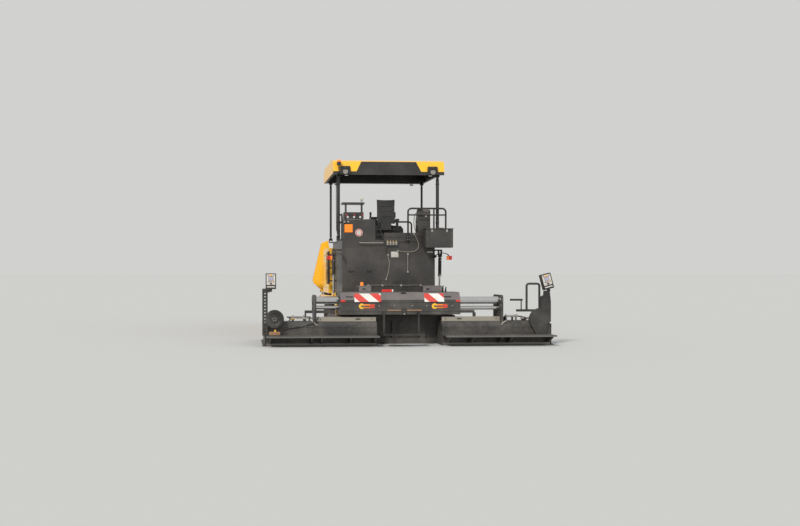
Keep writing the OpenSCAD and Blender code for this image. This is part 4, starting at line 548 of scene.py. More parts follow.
for side, s in SIDES:
    x0 = UNIT_X0[side]
    x1 = x0 + UNIT_W
    x2 = x1 + BRACKET_W
    x3 = x2 + BOLT_ON_W
    unit = Piece("unit_details_" + side)

    def on_unit(a, b, near, far, material, bevel=0.003):
        """A box from its two places across and its two (y, z) corners."""
        unit.box((s * a, *near), (s * b, *far), material, bevel)

    # Rear faces: stiffening ribs and bolts
    for a, b in ((x0, x1), (x2, x3)):
        on_unit(a + 0.03, b - 0.03, (UNIT_REAR_Y - 0.006, 0.385), (UNIT_REAR_Y + 0.001, 0.405),
                STEEL, 0.002)
        places = steps(a + 0.10, (b - a - 0.20) / 3, 4)
        unit.bolts([(s * x, UNIT_REAR_Y, 0.345) for x in places], REAR, 0.008, STEEL)
    # Bracket between the unit and the bolted box
    unit.bolts([(s * (x1 + BRACKET_W / 2), UNIT_REAR_Y, z) for z in (0.12, 0.32, 0.56, 0.70, 0.98)],
               REAR, 0.010, STEEL)
    # Foot board: worn top with a raised pattern, and a bright edge strip
    on_unit(x0 + 0.005, x3 - 0.005, (-0.995, BOARD_Z - 0.001), (-0.665, BOARD_Z + 0.0015), STEEL, 0.0)
    on_unit(x0, x3, (-1.000, BOARD_Z - 0.0005), (-0.985, BOARD_Z + 0.003), WORN, 0.001)
    on_unit(x0, x3, (-1.0008, BOARD_Z - 0.030), (-0.999, BOARD_Z - 0.002), WORN, 0.0)
    for i, k in product(range(int((x3 - x0 - 0.04) / BAR_STEP)), range(7)):
        x = s * (x0 + 0.03 + i * BAR_STEP)
        y = -0.975 + k * BAR_STEP
        unit.box((x - 0.011, y - 0.003, BOARD_Z + 0.001), (x + 0.011, y + 0.003, BOARD_Z + 0.004),
                 WORN, 0.0, DIAGONAL[(i + k) % 2])
    # Edge of the screed plate under the board
    on_unit(x0 + 0.01, x3 - 0.01, (UNIT_REAR_Y - 0.004, 0.004), (UNIT_REAR_Y + 0.001, 0.055), WORN, 0.001)
    # Screw spindle in its lugs, bright plates and a link on the bolted box
    spindle, lugs, plates = SPINDLES[side]
    unit.rod(*[(s * (x2 + dx), SPINDLE_Y, SPINDLE_Z) for dx in spindle], 0.013, RUBBER, 12)
    for dx in lugs:
        on_unit(x2 + dx - 0.016, x2 + dx + 0.016, (-0.485, 0.499), (-0.435, 0.628), ZINC, 0.006)
        unit.stub((s * (x2 + dx) - 0.022, SPINDLE_Y, SPINDLE_Z), (1, 0, 0), 0.044, 0.024, ZINC, 6)
    for a, b, z, material in plates:
        middle = x2 + (a + b) / 2
        on_unit(x2 + a, x2 + b, (-0.51, z - 0.018), (-0.50, z + 0.018), material, 0.002)
        on_unit(middle - 0.02, middle + 0.02, (-0.505, 0.499), (-0.495, z), BLACK, 0.0)
    link = [(s * (x2 + dx), UNIT_REAR_Y - 0.008, z) for dx, z in ((0.045, 0.505), (-0.042, 0.434))]
    unit.rod(*link, 0.009, ZINC, 12)
    for point in link:
        unit.stub(point, REAR, 0.010, 0.016, ZINC, 16)
    if side == "left":
        unit.sweep(HAND_HOSE, 0.011, RUBBER)
    unit.sweep(circle((s * (x2 + 0.52), -0.52, 0.528), "X", 0.03, 16, 112.5)[::-1], 0.008, ZINC, 8, True)
    # Cable along the top of the unit
    places = ((x0 + 0.1, -0.36), (x0 + 0.5, -0.34), (x1 - 0.2, -0.37), (x1 - 0.03, -0.38))
    unit.sweep([(s * x, y, 0.511) for x, y in places], 0.011, RUBBER)
    # Clamp rings of the guide tubes on the bracket's outer face, and wipers at the housing
    rings = Piece("tube_wipers_" + side)
    for z, r in TUBES:
        unit.flange((s * (x2 - 0.001), TUBE_Y[side], z), "X", (s, 0, 0), 0.015, r + 0.018,
                    (r + 0.004, 6, 0.006, 0), sides=36)
        rings.sweep(circle((s * 1.2485, TUBE_Y[side], z), "X", r + 0.010, 24), 0.0045, RUBBER, 8, True)
    unit.done("extension_" + side)
    rings.done("screed")

# Seat

PAD_CELLS = 30


def pad(node, u_axis, v_axis, inset, seams):
    """A stuffed cover: crowned face, sides that pull in between the corners, sewn channels, piping."""
    low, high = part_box(node)
    u_axis, v_axis = Vector(u_axis), Vector(v_axis)
    out = u_axis.cross(v_axis)
    half_u, half_v, half_out = (abs(axis.dot(high - low)) / 2 for axis in (u_axis, v_axis, out))
    base = (low + high) / 2 + (inset - half_out) * out
    ticks = steps(-1, 2 / PAD_CELLS, PAD_CELLS + 1)

    def spot(i, j, rise, spread=1.0):
        """A point over one knot of the cover's plan, at a share of its height there."""
        u, v = ticks[i], ticks[j]
        x = 0.98 * half_u * u * (1 - 0.035 * (1 - v * v))
        y = 0.98 * half_v * v * (1 - 0.035 * (1 - u * u))
        crown = (1 - abs(u) ** 3.2) * (1 - abs(v) ** 3.2)
        groove = sum(math.exp(-((v - at) / 0.035) ** 2) for at in seams) * 0.16 * (1 - abs(u) ** 6)
        side = math.exp(-((abs(u) - 0.66) / 0.035) ** 2) * 0.12 * (1 - abs(v) ** 6)
        wrinkle = 0.012 * math.sin(9 * u + 4 * v) * math.sin(7 * v - 2 * u) * crown
        height = (2 * half_out - inset) * (0.66 + 0.34 * crown - groove - side + wrinkle)
        return base + x * spread * u_axis + y * spread * v_axis + height * rise * out

    cover = Piece(node + "_cover")
    new_vert, new_face = cover.bm.verts.new, cover.bm.faces.new
    span = range(PAD_CELLS)
    top = [[new_vert(spot(i, j, 1.0)) for j in range(PAD_CELLS + 1)] for i in range(PAD_CELLS + 1)]
    rim = [(i, 0) for i in span] + [(PAD_CELLS, i) for i in span]
    rim += [(PAD_CELLS - i, PAD_CELLS) for i in span] + [(0, PAD_CELLS - i) for i in span]
    rings = [[top[i][j] for i, j in rim]]
    for rise in (0.8, 0.55, 0.3, 0.08, 0.0):
        bulge = 0.035 * math.sin(math.pi * rise) - (0.03 if rise == 0 else 0)
        rings.append([new_vert(spot(i, j, rise, 1 + bulge)) for i, j in rim])
    for i, j in product(span, span):
        new_face((top[i][j], top[i + 1][j], top[i + 1][j + 1], top[i][j + 1]))
    for a, b in zip(rings, rings[1:]):
        for k in range(len(rim)):
            new_face((a[k - 1], b[k - 1], b[k], a[k]))
    new_face(rings[-1][::-1])
    cover.paint(cover.bm.faces, "seat_fabric")
    obj = cover.build()
    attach(obj, "tractor")
    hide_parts(node)
    piping = Piece(node + "_cover_piping")
    piping.sweep([spot(i, j, 0.97, 1.004) for i, j in rim[::3]], 0.0045, "seat_plastic", 8, True)
    piping.done("tractor")


pad("seat_cushion", (1, 0, 0), (0, 1, 0), 0.0, (-0.35, 0.2, 0.66))
pad("seat_back", (-1, 0, 0), (0, 0, 1), 0.004, (-0.62, -0.25, 0.12, 0.48))

seat = Piece("seat_shell_and_levers")
half_shell = [(0.19, 2.63), (0.20, 2.80), (0.19, 3.10), (0.14, 3.15)]
seat.prism(half_shell + [(-x, z) for x, z in reversed(half_shell)], "Y", 1.094, 1.104, "seat_plastic")
for z in (2.78, 2.90, 3.02):
    seat.box((-0.13, 1.086, z), (0.13, 1.095, z + 0.022), "seat_plastic", 0.004)
seat.box((-0.215, 1.10, 2.712), (0.215, 1.108, 2.724), "pale_label", 0.002)
for x in (-0.285, 0.285):
    seat.box((x - 0.042, 1.17, 2.718), (x + 0.042, 1.51, 2.742), "seat_fabric", 0.012)
    seat.rod((x, 1.53, 2.70), (x, 1.535, 2.80), 0.010, ZINC)
    seat.rod((x, 1.535, 2.79), (x, 1.545, 2.90), 0.020, "seat_plastic", 20, 0.026)
    seat.ball((x, 1.546, 2.905), 0.027, "seat_plastic", (1, 1, 0.7))
seat.done("tractor")

# Consoles

desk = Piece("console_details")
# Visor desk at the rear left: switches, gauges and a ball-topped lever
for i, x in enumerate(steps(-0.95, 0.06, 7)):
    desk.stub((x, 0.785, 2.80), REAR, 0.013, 0.014, RUBBER if i % 3 else "red_paint", 16)
for x in steps(-0.92, 0.14, 3):
    desk.stub((x, 0.785, 2.75), REAR, 0.009, 0.030, BLACK, 24)
    desk.stub((x, 0.777, 2.75), REAR, 0.003, 0.025, "pale_label", 24)
desk.stub((-0.59, 0.90, 2.86), UP, 0.27, 0.011, ZINC)
desk.ball((-0.59, 0.90, 3.165), 0.034, "pale_label", (1, 1, 1.7))
# Right console: sloped switch panel, small box, its cable and the switches on top
desk.box((0.70, 0.811, 2.80), (0.94, 0.822, 2.93), "bevel_grey")
desk.stub((0.86, 0.812, 2.775), REAR, 0.006, 0.016, "pale_label", 16)
desk.box((0.655, 0.77, 2.815), (0.775, 0.822, 2.93), "cover_grey", 0.008)
desk.sweep([(0.66, 0.80, 2.86), (0.60, 0.80, 2.80), (0.58, 0.79, 2.60), (0.62, 0.785, 2.42)],
           0.009, "hose_rubber")
for i, x in enumerate(steps(0.72, 0.05, 5)):
    desk.stub((x, 0.95, 2.92), UP, 0.018, 0.012, "red_paint" if i == 2 else RUBBER, 16)
# Main console: screen on its stem and rows of keys
desk.box((-0.20, 2.245, 2.64), (0.20, 2.265, 2.86), BLACK, 0.008)
desk.box((-0.18, 2.241, 2.66), (0.18, 2.247, 2.84), "screen", 0.002)
desk.stub((0, 2.27, 2.60), UP, 0.08, 0.02, BLACK)
for first, i, k in product((-0.52, 0.28), range(5), range(2)):
    x, y = first + i * 0.05, 2.24 + k * 0.06
    desk.box((x, y, 2.638), (x + 0.03, y + 0.035, 2.650), RUBBER if (i + k) % 4 else ORANGE)
desk.done("tractor")

# Control stands

WHEEL_X, WHEEL_Z = -0.18, 0.56
BOX_LEAN = {"left": 0, "right": -15}
BOX_Z = {"left": 1.33, "right": 1.323}

for side, s in SIDES:
    x3 = UNIT_X0[side] + UNIT_W + BRACKET_W + BOLT_ON_W
    stand = Piece("control_stand_details_" + side)

    def on_face(x0, z0, x1, z1, out0, out1, material):
        """A box on the control box's face, from its middle and in its own upright frame."""
        stand.box((x0, -0.06 - out1, z0), (x1, -0.06 - out0, z1), material, 0.002)

    on_face(-0.088, -0.075, 0.088, 0.143, -0.013, -0.003, "box_face")
    on_face(-0.047, 0.013, 0.047, 0.103, -0.006, -0.001, "cover_grey")
    on_face(-0.041, 0.019, 0.041, 0.097, -0.004, 0.0005, "screen_pale")
    on_face(-0.082, -0.126, 0.082, -0.102, -0.013, -0.003, "box_face")
    for i, x in enumerate(steps(-0.062, 0.027, 5)):
        on_face(x, -0.016, x + 0.018, 0.0, -0.006, 0.001, ORANGE if i == 3 else RUBBER)
    for x, z, radius, out, material in (
            (0.0, 0.123, 0.019, 0.004, YELLOW), (0.0, 0.123, 0.013, 0.022, YELLOW),
            (-0.058, 0.120, 0.009, 0.008, RUBBER), (0.058, 0.120, 0.009, 0.008, RUBBER),
            (0.0, -0.046, 0.019, 0.020, RUBBER)):
        stand.stub((x, -0.05, z), REAR, 0.01 + out, radius, material, 24)
    middle = Matrix.Translation((s * (x3 - 0.104), -0.69, BOX_Z[side]))
    lean = Matrix.Rotation(math.radians(BOX_LEAN[side]), 4, "Y")
    bmesh.ops.transform(stand.bm, matrix=middle @ lean, verts=stand.bm.verts[:])
    if side == "left":
        # Timber under the foot clamp's bolt, bolts of the wheel's hub
        stand.box((-2.722, -0.7435, 0.236), (-2.500, -0.70, 0.3035), "timber", 0.004)
        stand.box((-2.62, -0.72, 0.300), (-2.58, -0.68, 0.345), YELLOW, 0.004)
        stand.bolts(circle((-(x3 + WHEEL_X), -0.770, WHEEL_Z), "Y", 0.036, 5, 20), REAR, 0.008)
    stand.done("extension_" + side)

# Hood, doors and lid

hood = Piece("hood_details")
for _, s in SIDES:
    for y in steps(2.84, 0.11, 8):
        hood.box((s * 0.745, y - 0.001, 2.085), (s * 1.075, y + 0.052, 2.0898), BLACK, 0.0)
    hood.bolts(product((s * 1.16,), (2.66, 3.88), (1.40, 1.72)), (s, 0, 0), 0.009)
    hood.box((s * 1.158 - 0.003, 2.63, 1.93), (s * 1.158 + 0.005, 3.74, 1.945), BLACK, 0.002)
    # Ring bolts that the hood is lifted by
    hood.stub((s * 0.80, 2.68, 2.11), UP, 0.008, 0.032, ZINC, 24)
    hood.sweep(circle((s * 0.80, 2.68, 2.144), "Y", 0.026, 12), 0.007, ZINC, 8, True)
hood.bolts([(x, 3.95, 1.62) for x in (-0.95, -0.32, 0.32, 0.95)], FRONT, 0.009)
hood.done("tractor")

for side, s in SIDES:
    door = Piece("door_details_" + side)
    door.box((s * 1.132, 2.86, 1.29), (s * 1.137, 3.55, 1.77), BLACK, 0.0)
    for z in steps(1.320, 0.046, 10):
        louvre = [(1.139, z + 0.001), (1.139, z + 0.006), (1.159, z + 0.021), (1.159, z + 0.016)]
        door.prism([(s * x, height) for x, height in louvre], "Y", 2.891, 3.519, YELLOW)
    # Handle, lock and hinge bolts
    door.stub((s * 1.156, 2.815, 1.47), UP, 0.10, 0.007, BLACK, 12)
    for z in (1.475, 1.565):
        door.stub((s * 1.150, 2.815, z), (s, 0, 0), 0.007, 0.006, BLACK, 10)
    door.box((s * 1.1602, 2.79, 1.60), (s * 1.1625, 2.84, 1.63), ZINC, 0.001)
    door.stub((s * 1.16, 2.815, 1.615), (s, 0, 0), 0.006, 0.009, ZINC, 16)
    door.bolts([(s * 1.1605, 3.785, z) for z in (1.23, 1.27, 1.71, 1.75)], (s, 0, 0), 0.0055)
    door.done("side_door_" + side)

lid = Piece("lid_details")
lid.box((-0.56, 2.87, 2.0845), (0.56, 3.61, 2.0898), RUBBER, 0.0)
for y, x in product(steps(2.88, 0.085, 9), steps(-0.50, 0.10, 11)):
    lid.box((x - 0.002, y, 2.092), (x + 0.002, y + 0.04, 2.108), BLACK, 0.0)
grip = [(0.09, 2.11), (0.09, 2.128), (0.04, 2.133)]
lid.sweep([(-x, 2.79, z) for x, z in grip] + [(x, 2.79, z) for x, z in reversed(grip)], 0.007, ZINC)
lid.bolts(product((-0.60, 0.60), (2.80, 3.70), (2.11,)), UP, 0.009)
lid.done("hood_lid")

# Tracks

TRACK_X, TRACK_Z = 0.99, 0.36
SPROCKET_Y, IDLER_Y = 1.28, 3.63
CHAIN_R, SHOE_R, PIN_R = 0.325, 0.36, 0.298
SHOES = 44
RUN, ARC = IDLER_Y - SPROCKET_Y, math.pi * CHAIN_R
PITCH = 2 * (RUN + ARC) / SHOES


def along_track(s, radius):
    """Point on the loop at length s of its chain line, moved out to a radius, and its outward angle."""
    upper = s >= RUN + ARC
    s -= (RUN + ARC) * upper
    a = -math.pi / 2 + max(s - RUN, 0.0) / CHAIN_R
    y = min(s, RUN) - RUN / 2 + radius * math.cos(a)
    z = radius * math.sin(a)
    if upper:
        y, z, a = -y, -z, a + math.pi
    return (SPROCKET_Y + IDLER_Y) / 2 + y, TRACK_Z + z, a


for side, s in SIDES:
    pads = Piece("shoe_bolts_" + side)
    for i in range(SHOES):
        for shift in (-0.034, 0.034):
            y, z, a = along_track((i + 0.5) * PITCH + shift, SHOE_R)
            if z < 0.05:
                continue
            out = Vector((0, math.cos(a), math.sin(a)))
            for x in (-0.105, 0.105):
                at = Vector((s * (TRACK_X + x), y, z))
                pads.stub(at, out, 0.004, 0.013, WORN, 12)
                pads.stub(at + 0.004 * out, out, 0.005, 0.008, ZINC, 6)
        # Chain pins
        y, z, a = along_track(i * PITCH, PIN_R)
        for x in (-0.060, 0.060):
            pads.stub((s * (TRACK_X + x) - 0.007, y, z), (1, 0, 0), 0.014, 0.019, WORN, 14)
    pads.done("tractor")

    # Hubs of sprocket and idler, caps of the rollers, cover and grease points of the tensioner
    gear = Piece("track_gear_details_" + side)
    gear.bolts(circle((s * 1.0702, SPROCKET_Y, TRACK_Z), "X", 0.125, 12), (s, 0, 0), 0.010)
    gear.bolts(circle((s * 1.0902, SPROCKET_Y, TRACK_Z), "X", 0.080, 8, 22.5), (s, 0, 0), 0.009)
    gear.stub((s * 1.09, SPROCKET_Y, TRACK_Z), (s, 0, 0), 0.008, 0.045, STEEL, 32)
    for y in steps(1.67, (3.24 - 1.67) / 4, 5):
        gear.flange((s * 1.080, y, 0.18), "X", (s, 0, 0), 0.006, 0.024, (0, 1, 0.008, 0), WORN, 24)
        gear.bolts([(s * 1.0702, y + dy, 0.215) for dy in (-0.045, 0.045)], (s, 0, 0), 0.008)
    gear.flange((s * 1.076, IDLER_Y, TRACK_Z), "X", (s, 0, 0), 0.008, 0.050, (0.032, 6, 0.006, 0))
    gear.box((s * 1.069, 3.02, 0.40), (s * 1.077, 3.16, 0.47), STEEL)
    gear.bolts([(s * 1.077, y, 0.435) for y in (3.035, 3.145)], (s, 0, 0), 0.006)
    # Earth that has packed on the frame
    for along in steps(1.60, 0.068, 26):
        y = along + rng.uniform(-0.02, 0.02)
        x = s * rng.uniform(0.94, 1.04)
        gear.ball((x, y, 0.483), rng.uniform(0.018, 0.04), "rust", (1.3, 1.4, 0.35))
    gear.done("tractor")

# Chassis

TOW_PIN = (3.75, 0.86)
BEAM_PIN = (0, 5.595)

chassis = Piece("chassis_details")
for _, s in SIDES:
    chassis.bolts([(s * x, 3.97, 1.52) for x in steps(0.10, 0.105, 9)], FRONT, 0.009)
    chassis.bolts([(s * 0.68, y, 0.60) for y in (4.35, 4.55, 4.95, 5.25)], (s, 0, 0), 0.010)
    # Bearing flanges of the conveyor shafts
    for y in (0.95, 5.38):
        chassis.bolts(circle((s * 0.7402, y, 0.4603), "X", 0.034, 6), (s, 0, 0), 0.006)
    # Rubber curtain between hood and wing
    chassis.box((s * 0.72, 3.972, 0.78), (s * 1.04, 3.980, 1.50), RUBBER, 0.002)
    # Hydraulic lines along the chassis and their clips
    for z in (0.915, 0.885, 0.855):
        chassis.stub((s * 0.69, 1.05, z), FRONT, 2.50, 0.009, ZINC, 10)
    for y in (1.4, 2.0, 2.6, 3.2):
        chassis.box((s * 0.679, y, 0.84), (s * 0.705, y + 0.03, 0.93), BLACK, 0.002)
    # Caps on the pins of the tow points
    chassis.flange((s * 1.277, *TOW_PIN), "X", (s, 0, 0), 0.006, 0.052, (0.034, 3, 0.008, 90), ZINC)
chassis.flange((*BEAM_PIN, 0.579), "Z", UP, 0.008, 0.045, (0.027, 3, 0.007, 90), ZINC)
chassis.done("tractor")

# Deck, ladders and rails

tread = Piece("deck_tread")
for i, k in product(range(28), range(24)):
    x = -0.98 + i * 0.0726
    y = 0.86 + k * 0.0715
    under_console = 2.16 < y < 2.50 and abs(x) < 0.64
    under_seat = 1.14 < y < 1.56 and abs(x) < 0.24
    at_corner = (0.66 < x < 0.98 and y < 1.10) or (x < -0.60 and y < 0.87)
    if not (under_console or under_seat or at_corner):
        tread.box((x - 0.016, y - 0.004, 2.2495), (x + 0.016, y + 0.004, 2.2530), WORN, 0.0,
                  DIAGONAL[(i + k) % 2])
tread.done("tractor")

climb = Piece("ladder_details")
for (_, s), z in product(SIDES, (1.32, 1.63, 1.94)):
    for y, x in product(steps(2.12, 0.04, 9), steps(1.075, 0.055, 3)):
        climb.stub((s * x, y, z), UP, 0.004, 0.009, WORN, 8, 0.006)
    climb.box((s * 1.2252 - 0.0005, 2.10, z - 0.024), (s * 1.2252 + 0.001, 2.46, z - 0.006), YELLOW, 0.0)
climb.done("tractor")

# Foot plates of the rails' posts, and bolts of the rear rail
rails = Piece("rail_details")
for x, y in [*product((-1.01, 1.01), (1.12, 1.88)), (-0.9, 2.55), (0.9, 2.55)]:
    rails.flange((x, y, 2.2505), "Z", UP, 0.0115, 0.039, (0.030, 4, 0.005, 45), BLACK, 24)
rails.bolts(product((0.413, 0.453, 1.00, 1.04), (0.7218,), (2.25, 2.31)), REAR, 0.006)
rails.done("tractor")

# Wings

WING_HINGE, WING_LIFT, WING_BEND = Vector((0.73, 0.70)), 0.045, 0.12
WING_FLOOR, WING_WALL, FLOOR_DEG, WALL_DEG = 0.78, 1.15, 42.0, 102.0
WING_Y = (4.03, 5.52)
LINER_STRIPS = 22
LINER_W = (WING_Y[1] - WING_Y[0]) / LINER_STRIPS


def wing_dir(deg):
    return Vector((math.cos(math.radians(deg)), math.sin(math.radians(deg))))


corner = WING_HINGE + WING_FLOOR * wing_dir(FLOOR_DEG)
cut = WING_BEND * math.tan(math.radians((WALL_DEG - FLOOR_DEG) / 2))
bend = corner - cut * wing_dir(FLOOR_DEG) + (WING_LIFT + WING_BEND) * wing_dir(FLOOR_DEG + 90)
wing_line = [WING_HINGE + 0.01 * wing_dir(FLOOR_DEG) + WING_LIFT * wing_dir(FLOOR_DEG + 90)]
for deg in steps(FLOOR_DEG, (WALL_DEG - FLOOR_DEG) / 6, 7):
    wing_line.append(bend + WING_BEND * wing_dir(deg - 90))
wing_line.append(corner + WING_WALL * wing_dir(WALL_DEG) + WING_LIFT * wing_dir(WALL_DEG + 90))


def wing_band(first, last, near, far):
    """Outline beside the wing's plate, between two lengths along it and two distances inwards."""
    lengths = [0.0]
    for a, b in zip(wing_line, wing_line[1:]):
        lengths.append(lengths[-1] + (b - a).length)

    def at(s, d):
        for i, (a, b) in enumerate(zip(wing_line, wing_line[1:])):
            if s <= lengths[i + 1] or i == len(wing_line) - 2:
                way = (b - a).normalized()
                return a + (s - lengths[i]) * way + d * Vector((-way.y, way.x))

    stops = [first] + [v for v in lengths if first < v < last] + [last]
    return [at(s, near) for s in stops] + [at(s, far) for s in reversed(stops)]


def dress_cylinder(piece, base, way, bands, inner, ports):
    """Bands round a cylinder's barrel, and its ports: where they start and end behind it, and radius."""
    turn = way.to_track_quat("Z", "Y")
    outer = inner + 0.0035
    for a, b, material in bands:
        piece.skin([[base + d * way + turn @ point for point in circle((0, 0, 0), "Z", radius, 28)]
                    for d, radius in ((a, inner), (a, outer), (b, outer), (b, inner))], material, True)
    places, start, end, radius = ports
    for d in places:
        piece.stub(base + d * way + start * REAR, REAR, end - start, radius, ZINC, 12)


for side, s in SIDES:
    wing = Piece("wing_details_" + side)

    def band(first, last, near, far, y0, y1, material):
        wing.prism([(s * p.x, p.y) for p in wing_band(first, last, near, far)], "Y", y0, y1, material)

    # Worn liner with the edge of the last load, and the rubber flap at the floor
    band(0.03, 0.70, 0.0061, 0.0085, *WING_Y, WORN)
    for k, y in enumerate(steps(WING_Y[0], LINER_W, LINER_STRIPS)):
        top = 0.82 + 0.16 * math.sin(k * 0.55) + rng.uniform(-0.05, 0.05)
        band(0.70, max(top, 0.74), 0.0061, 0.0078, y, y + LINER_W, WORN)
    band(0.01, 0.14, 0.0088, 0.018, *WING_Y, RUBBER)
    p = wing_band(0.09, 0.10, 0.018, 0.019)[0]
    way = wing_dir(FLOOR_DEG + 90)
    wing.bolts([(s * p.x, y, p.y) for y in steps(4.12, 0.132, 11)], (s * way.x, 0, way.y), 0.009)
    # Toothed edge of the front flap
    for first in steps(0.42, 0.09, 16):
        band(first, first + 0.055, -0.040, -0.0065, 5.515, 5.5385, RUBBER)
    band(0.40, 1.86, -0.020, -0.0065, 5.500, 5.512, RUBBER)
    wing.done("wing_" + side)

    ram = Piece("wing_ram_details_" + side)
    base, eye = Vector((s * 0.96, 4.56, 0.43)), Vector((s * 1.15, 4.56, 1.01))
    dress_cylinder(ram, base, (eye - base).normalized(),
                   ((0.386, 0.4095, ZINC), (0.085, 0.100, BLACK)), 0.031,
                   ((0.12, 0.36), 0.028, 0.048, 0.010))
    ram.done("wing_barrel_" + side)

# Tow arms, lift cylinders and augers

SCALE_STEP = 0.045
LIFT_PORTS = (0.115, 0.43)
AUGER_Y, AUGER_Z = 0.55, 0.33

arms = Piece("tow_arm_details")
for _, s in SIDES:
    places = [*product((0.06, 0.14), (0.70, 0.64)), *product((0.30,), (0.88, 0.94)),
              *product((3.55,), (0.80, 0.86, 0.91))]
    arms.bolts([(s * 1.265, y, z) for y, z in places], (s, 0, 0), 0.012)
    arms.box((s * 1.2652, 1.25, 0.845), (s * 1.2668, 1.85, 0.915), BLACK, 0.0)
    for k, y in enumerate(steps(1.27, SCALE_STEP, 13)):
        high = 0.872 if k % 4 == 0 else 0.862
        arms.box((s * 1.2662, y, 0.85), (s * 1.2678, y + 0.003, high), "white_paint", 0.0)
arms.done("screed")

barrels = Piece("lift_barrel_details")
for _, s in SIDES:
    base, eye = Vector((s * 1.215, 0.96, 1.90)), Vector((s * 1.215, 1.0, 1.02))
    way = (eye - base).normalized()
    dress_cylinder(barrels, base, way, ((0.452, 0.4795, ZINC), (0.075, 0.092, BLACK)), 0.037,
                   (LIFT_PORTS, 0.032, 0.055, 0.012))
    for d in LIFT_PORTS:
        barrels.stub(base + d * way + 0.055 * REAR, REAR, 0.007, 0.016, ZINC, 6)
    high, low = (base + d * way + 0.058 * REAR for d in LIFT_PORTS)
    barrels.sweep([low, low + Vector((0, -0.02, 0.03)), high + Vector((0, -0.025, -0.10)),
                   high + Vector((0, -0.01, -0.02)), high], 0.008, RUBBER, 8)
barrels.done("lift_barrels")

carrier = Piece("auger_carrier_details")
for _, s in SIDES:
    carrier.flange((s * 1.9, AUGER_Y, AUGER_Z), "X", (s, 0, 0), 0.005, 0.063, (0.050, 6, 0.008, 0))
    carrier.bolts([(s * x, 0.64, 0.64) for x in (0.30, 0.60, 0.90, 1.20, 1.50, 1.78)], FRONT, 0.010)
carrier.bolts(product((-0.055, 0.055), (0.475,), (0.30, 0.36, 0.42, 0.50)), REAR, 0.008)
carrier.done("auger_carrier")
for side, s in SIDES:
    auger = Piece("auger_clamps_" + side)
    for x in steps(0.135, 0.17, 10):
        auger.stub((s * x - 0.006, AUGER_Y, AUGER_Z), (1, 0, 0), 0.012, 0.049, WORN, 28)
    auger.done("auger_" + side)

# Push beam

ROLLER = (5.845, 0.48)

push = Piece("push_beam_details")
for _, s in SIDES:
    for x0, x1 in ((0.156, 0.1655), (0.9145, 0.924)):
        push.rod((s * x0, *ROLLER), (s * x1, *ROLLER), 0.036, ZINC, 24)
    push.bolts([(s * x, 5.705, 0.545) for x in steps(0.25, 0.18, 4)], UP, 0.010)
push.done("push_beam")
for side, s in SIDES:
    roller = Piece("push_roller_details_" + side)
    for x in (0.190, 0.890):
        for at in circle((s * x - 0.0015, *ROLLER), "X", 0.062, 5):
            roller.stub(at, (1, 0, 0), 0.003, 0.012, "rust", 12)
    roller.done("push_roller_" + side)

# Under the roof

under = Piece("roof_underside")
for y in (1.45, 1.95, 2.45):
    under.box((-1.17, y, 3.955), (1.17, y + 0.03, 3.989), BLACK, 0.002)
for x in (-0.6, 0.0, 0.6):
    under.box((x - 0.012, 0.86, 3.965), (x + 0.012, 2.68, 3.989), BLACK, 0.002)
under.sweep([(-1.15, 0.87, 3.75), (-1.16, 1.5, 3.76), (-1.16, 2.2, 3.76), (-1.15, 2.66, 3.75)],
            0.009, RUBBER, 8)
for x, y in product((-0.95, 0.95), (0.775, 2.79)):
    under.stub((x, y, 3.679), UP, 0.005, 0.037, "lamp_glass", 28)
    under.stub((x, y, 3.6845), UP, 0.008, 0.046, BLACK, 28)
for _, s in SIDES:
    under.bolts([(s * 1.084, y, 3.74) for y in (0.80, 0.86, 2.39, 2.45)], (-s, 0, 0), 0.006)
under.box((-0.372, 1.11, 3.936), (-0.288, 1.29, 3.9395), "lamp_glass", 0.001)
under.done("roof")

# Locker

locker = Piece("locker_details")
for x in (0.90, 1.23):
    locker.box((x - 0.02, 0.394, 2.40), (x + 0.02, 0.401, 2.455), ZINC, 0.002)
    locker.stub((x, 0.394, 2.42), REAR, 0.006, 0.010, ZINC, 16)
locker.bolts(product((0.79, 1.34), (0.4,), (2.10, 2.25, 2.40)), REAR, 0.005)
locker.box((0.775, 0.3985, 2.085), (1.355, 0.4005, 2.092), BLACK, 0.0)
locker.done("tractor")

# Stage, light and camera

FLOOR = (0.50, 0.50, 0.49)
KEY, KEY_TILT = 2.6, 48.0
FILL, FILL_TILT = 0.7, 60.0
SKY = 0.62
SKY_COLOR = (0.96, 0.98, 1.0)

new_material("floor", {"Base Color": (*FLOOR, 1), "Roughness": 1.0, "Specular IOR Level": 0.0})
bpy.ops.mesh.primitive_plane_add(size=4000, location=(0, 0, -0.001))
floor = bpy.context.object
floor.name = "floor"
floor.data.materials.append(MAT["floor"])

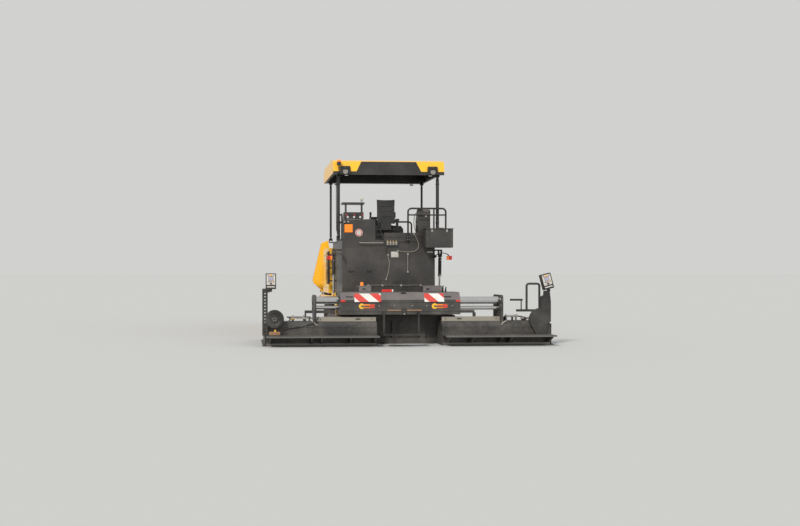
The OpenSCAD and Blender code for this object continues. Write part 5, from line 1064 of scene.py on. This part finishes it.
# The sky that lights the object, and the plain one behind it, as bright as the open floor
lit = (KEY * math.cos(math.radians(KEY_TILT)) + FILL * math.cos(math.radians(FILL_TILT))) / math.pi + SKY
world = bpy.data.worlds.new("studio")
bpy.context.scene.world = world
world.use_nodes = True
tree = world.node_tree
sky = tree.nodes["Background"]
sky.inputs["Color"].default_value = (*SKY_COLOR, 1)
sky.inputs["Strength"].default_value = SKY
shown = add_node(tree, "Background", {"Color": (*FLOOR, 1), "Strength": lit})
rays = add_node(tree, "LightPath", {})
seen = rays["Is Camera Ray"]
for ray in ("Is Glossy Ray", "Is Transmission Ray"):
    seen = add_node(tree, "Math", {0: seen, 1: rays[ray]}, operation="MAXIMUM")[0]
mix = add_node(tree, "MixShader", {0: seen, 1: sky.outputs[0], 2: shown[0]})
tree.links.new(mix[0], tree.nodes["World Output"].inputs["Surface"])


def sun(name, tilt, heading, strength, softness, color):
    """A far lamp that leans by tilt from overhead, and shines towards a heading from +Y to +X."""
    data = bpy.data.lights.new(name, "SUN")
    data.energy = strength
    data.angle = math.radians(softness)
    data.color = color
    obj = bpy.data.objects.new(name, data)
    bpy.context.scene.collection.objects.link(obj)
    obj.rotation_euler = (math.radians(tilt), 0, math.radians(-heading))


sun("key", KEY_TILT, 38, KEY, 14, (1.0, 0.97, 0.92))
sun("fill", FILL_TILT, -55, FILL, 50, (0.92, 0.96, 1.0))

CAMERA_AT = (-3.17, -16.5, 1.51)
YAW_DEG = 3.5
FOCAL_PX = 777.0
TRAVEL_VANISHING_PX = (247.0, 272.4)
FRAME_PX = (800.0, 526.0)
SENSOR_MM = 36.0
cam_data = bpy.data.cameras.new("camera")
camera = bpy.data.objects.new("camera", cam_data)
bpy.context.scene.collection.objects.link(camera)
bpy.context.scene.camera = camera
camera.location = CAMERA_AT
camera.rotation_euler = (math.radians(90), 0, math.radians(-YAW_DEG))
cam_data.sensor_width = SENSOR_MM
cam_data.lens = FOCAL_PX * SENSOR_MM / FRAME_PX[0]
axis_px = TRAVEL_VANISHING_PX[0] + FOCAL_PX * math.tan(math.radians(YAW_DEG))
cam_data.shift_x = (FRAME_PX[0] / 2 - axis_px) / FRAME_PX[0]
cam_data.shift_y = (TRAVEL_VANISHING_PX[1] - FRAME_PX[1] / 2) / FRAME_PX[0]

bpy.context.scene.view_settings.view_transform = "Standard"
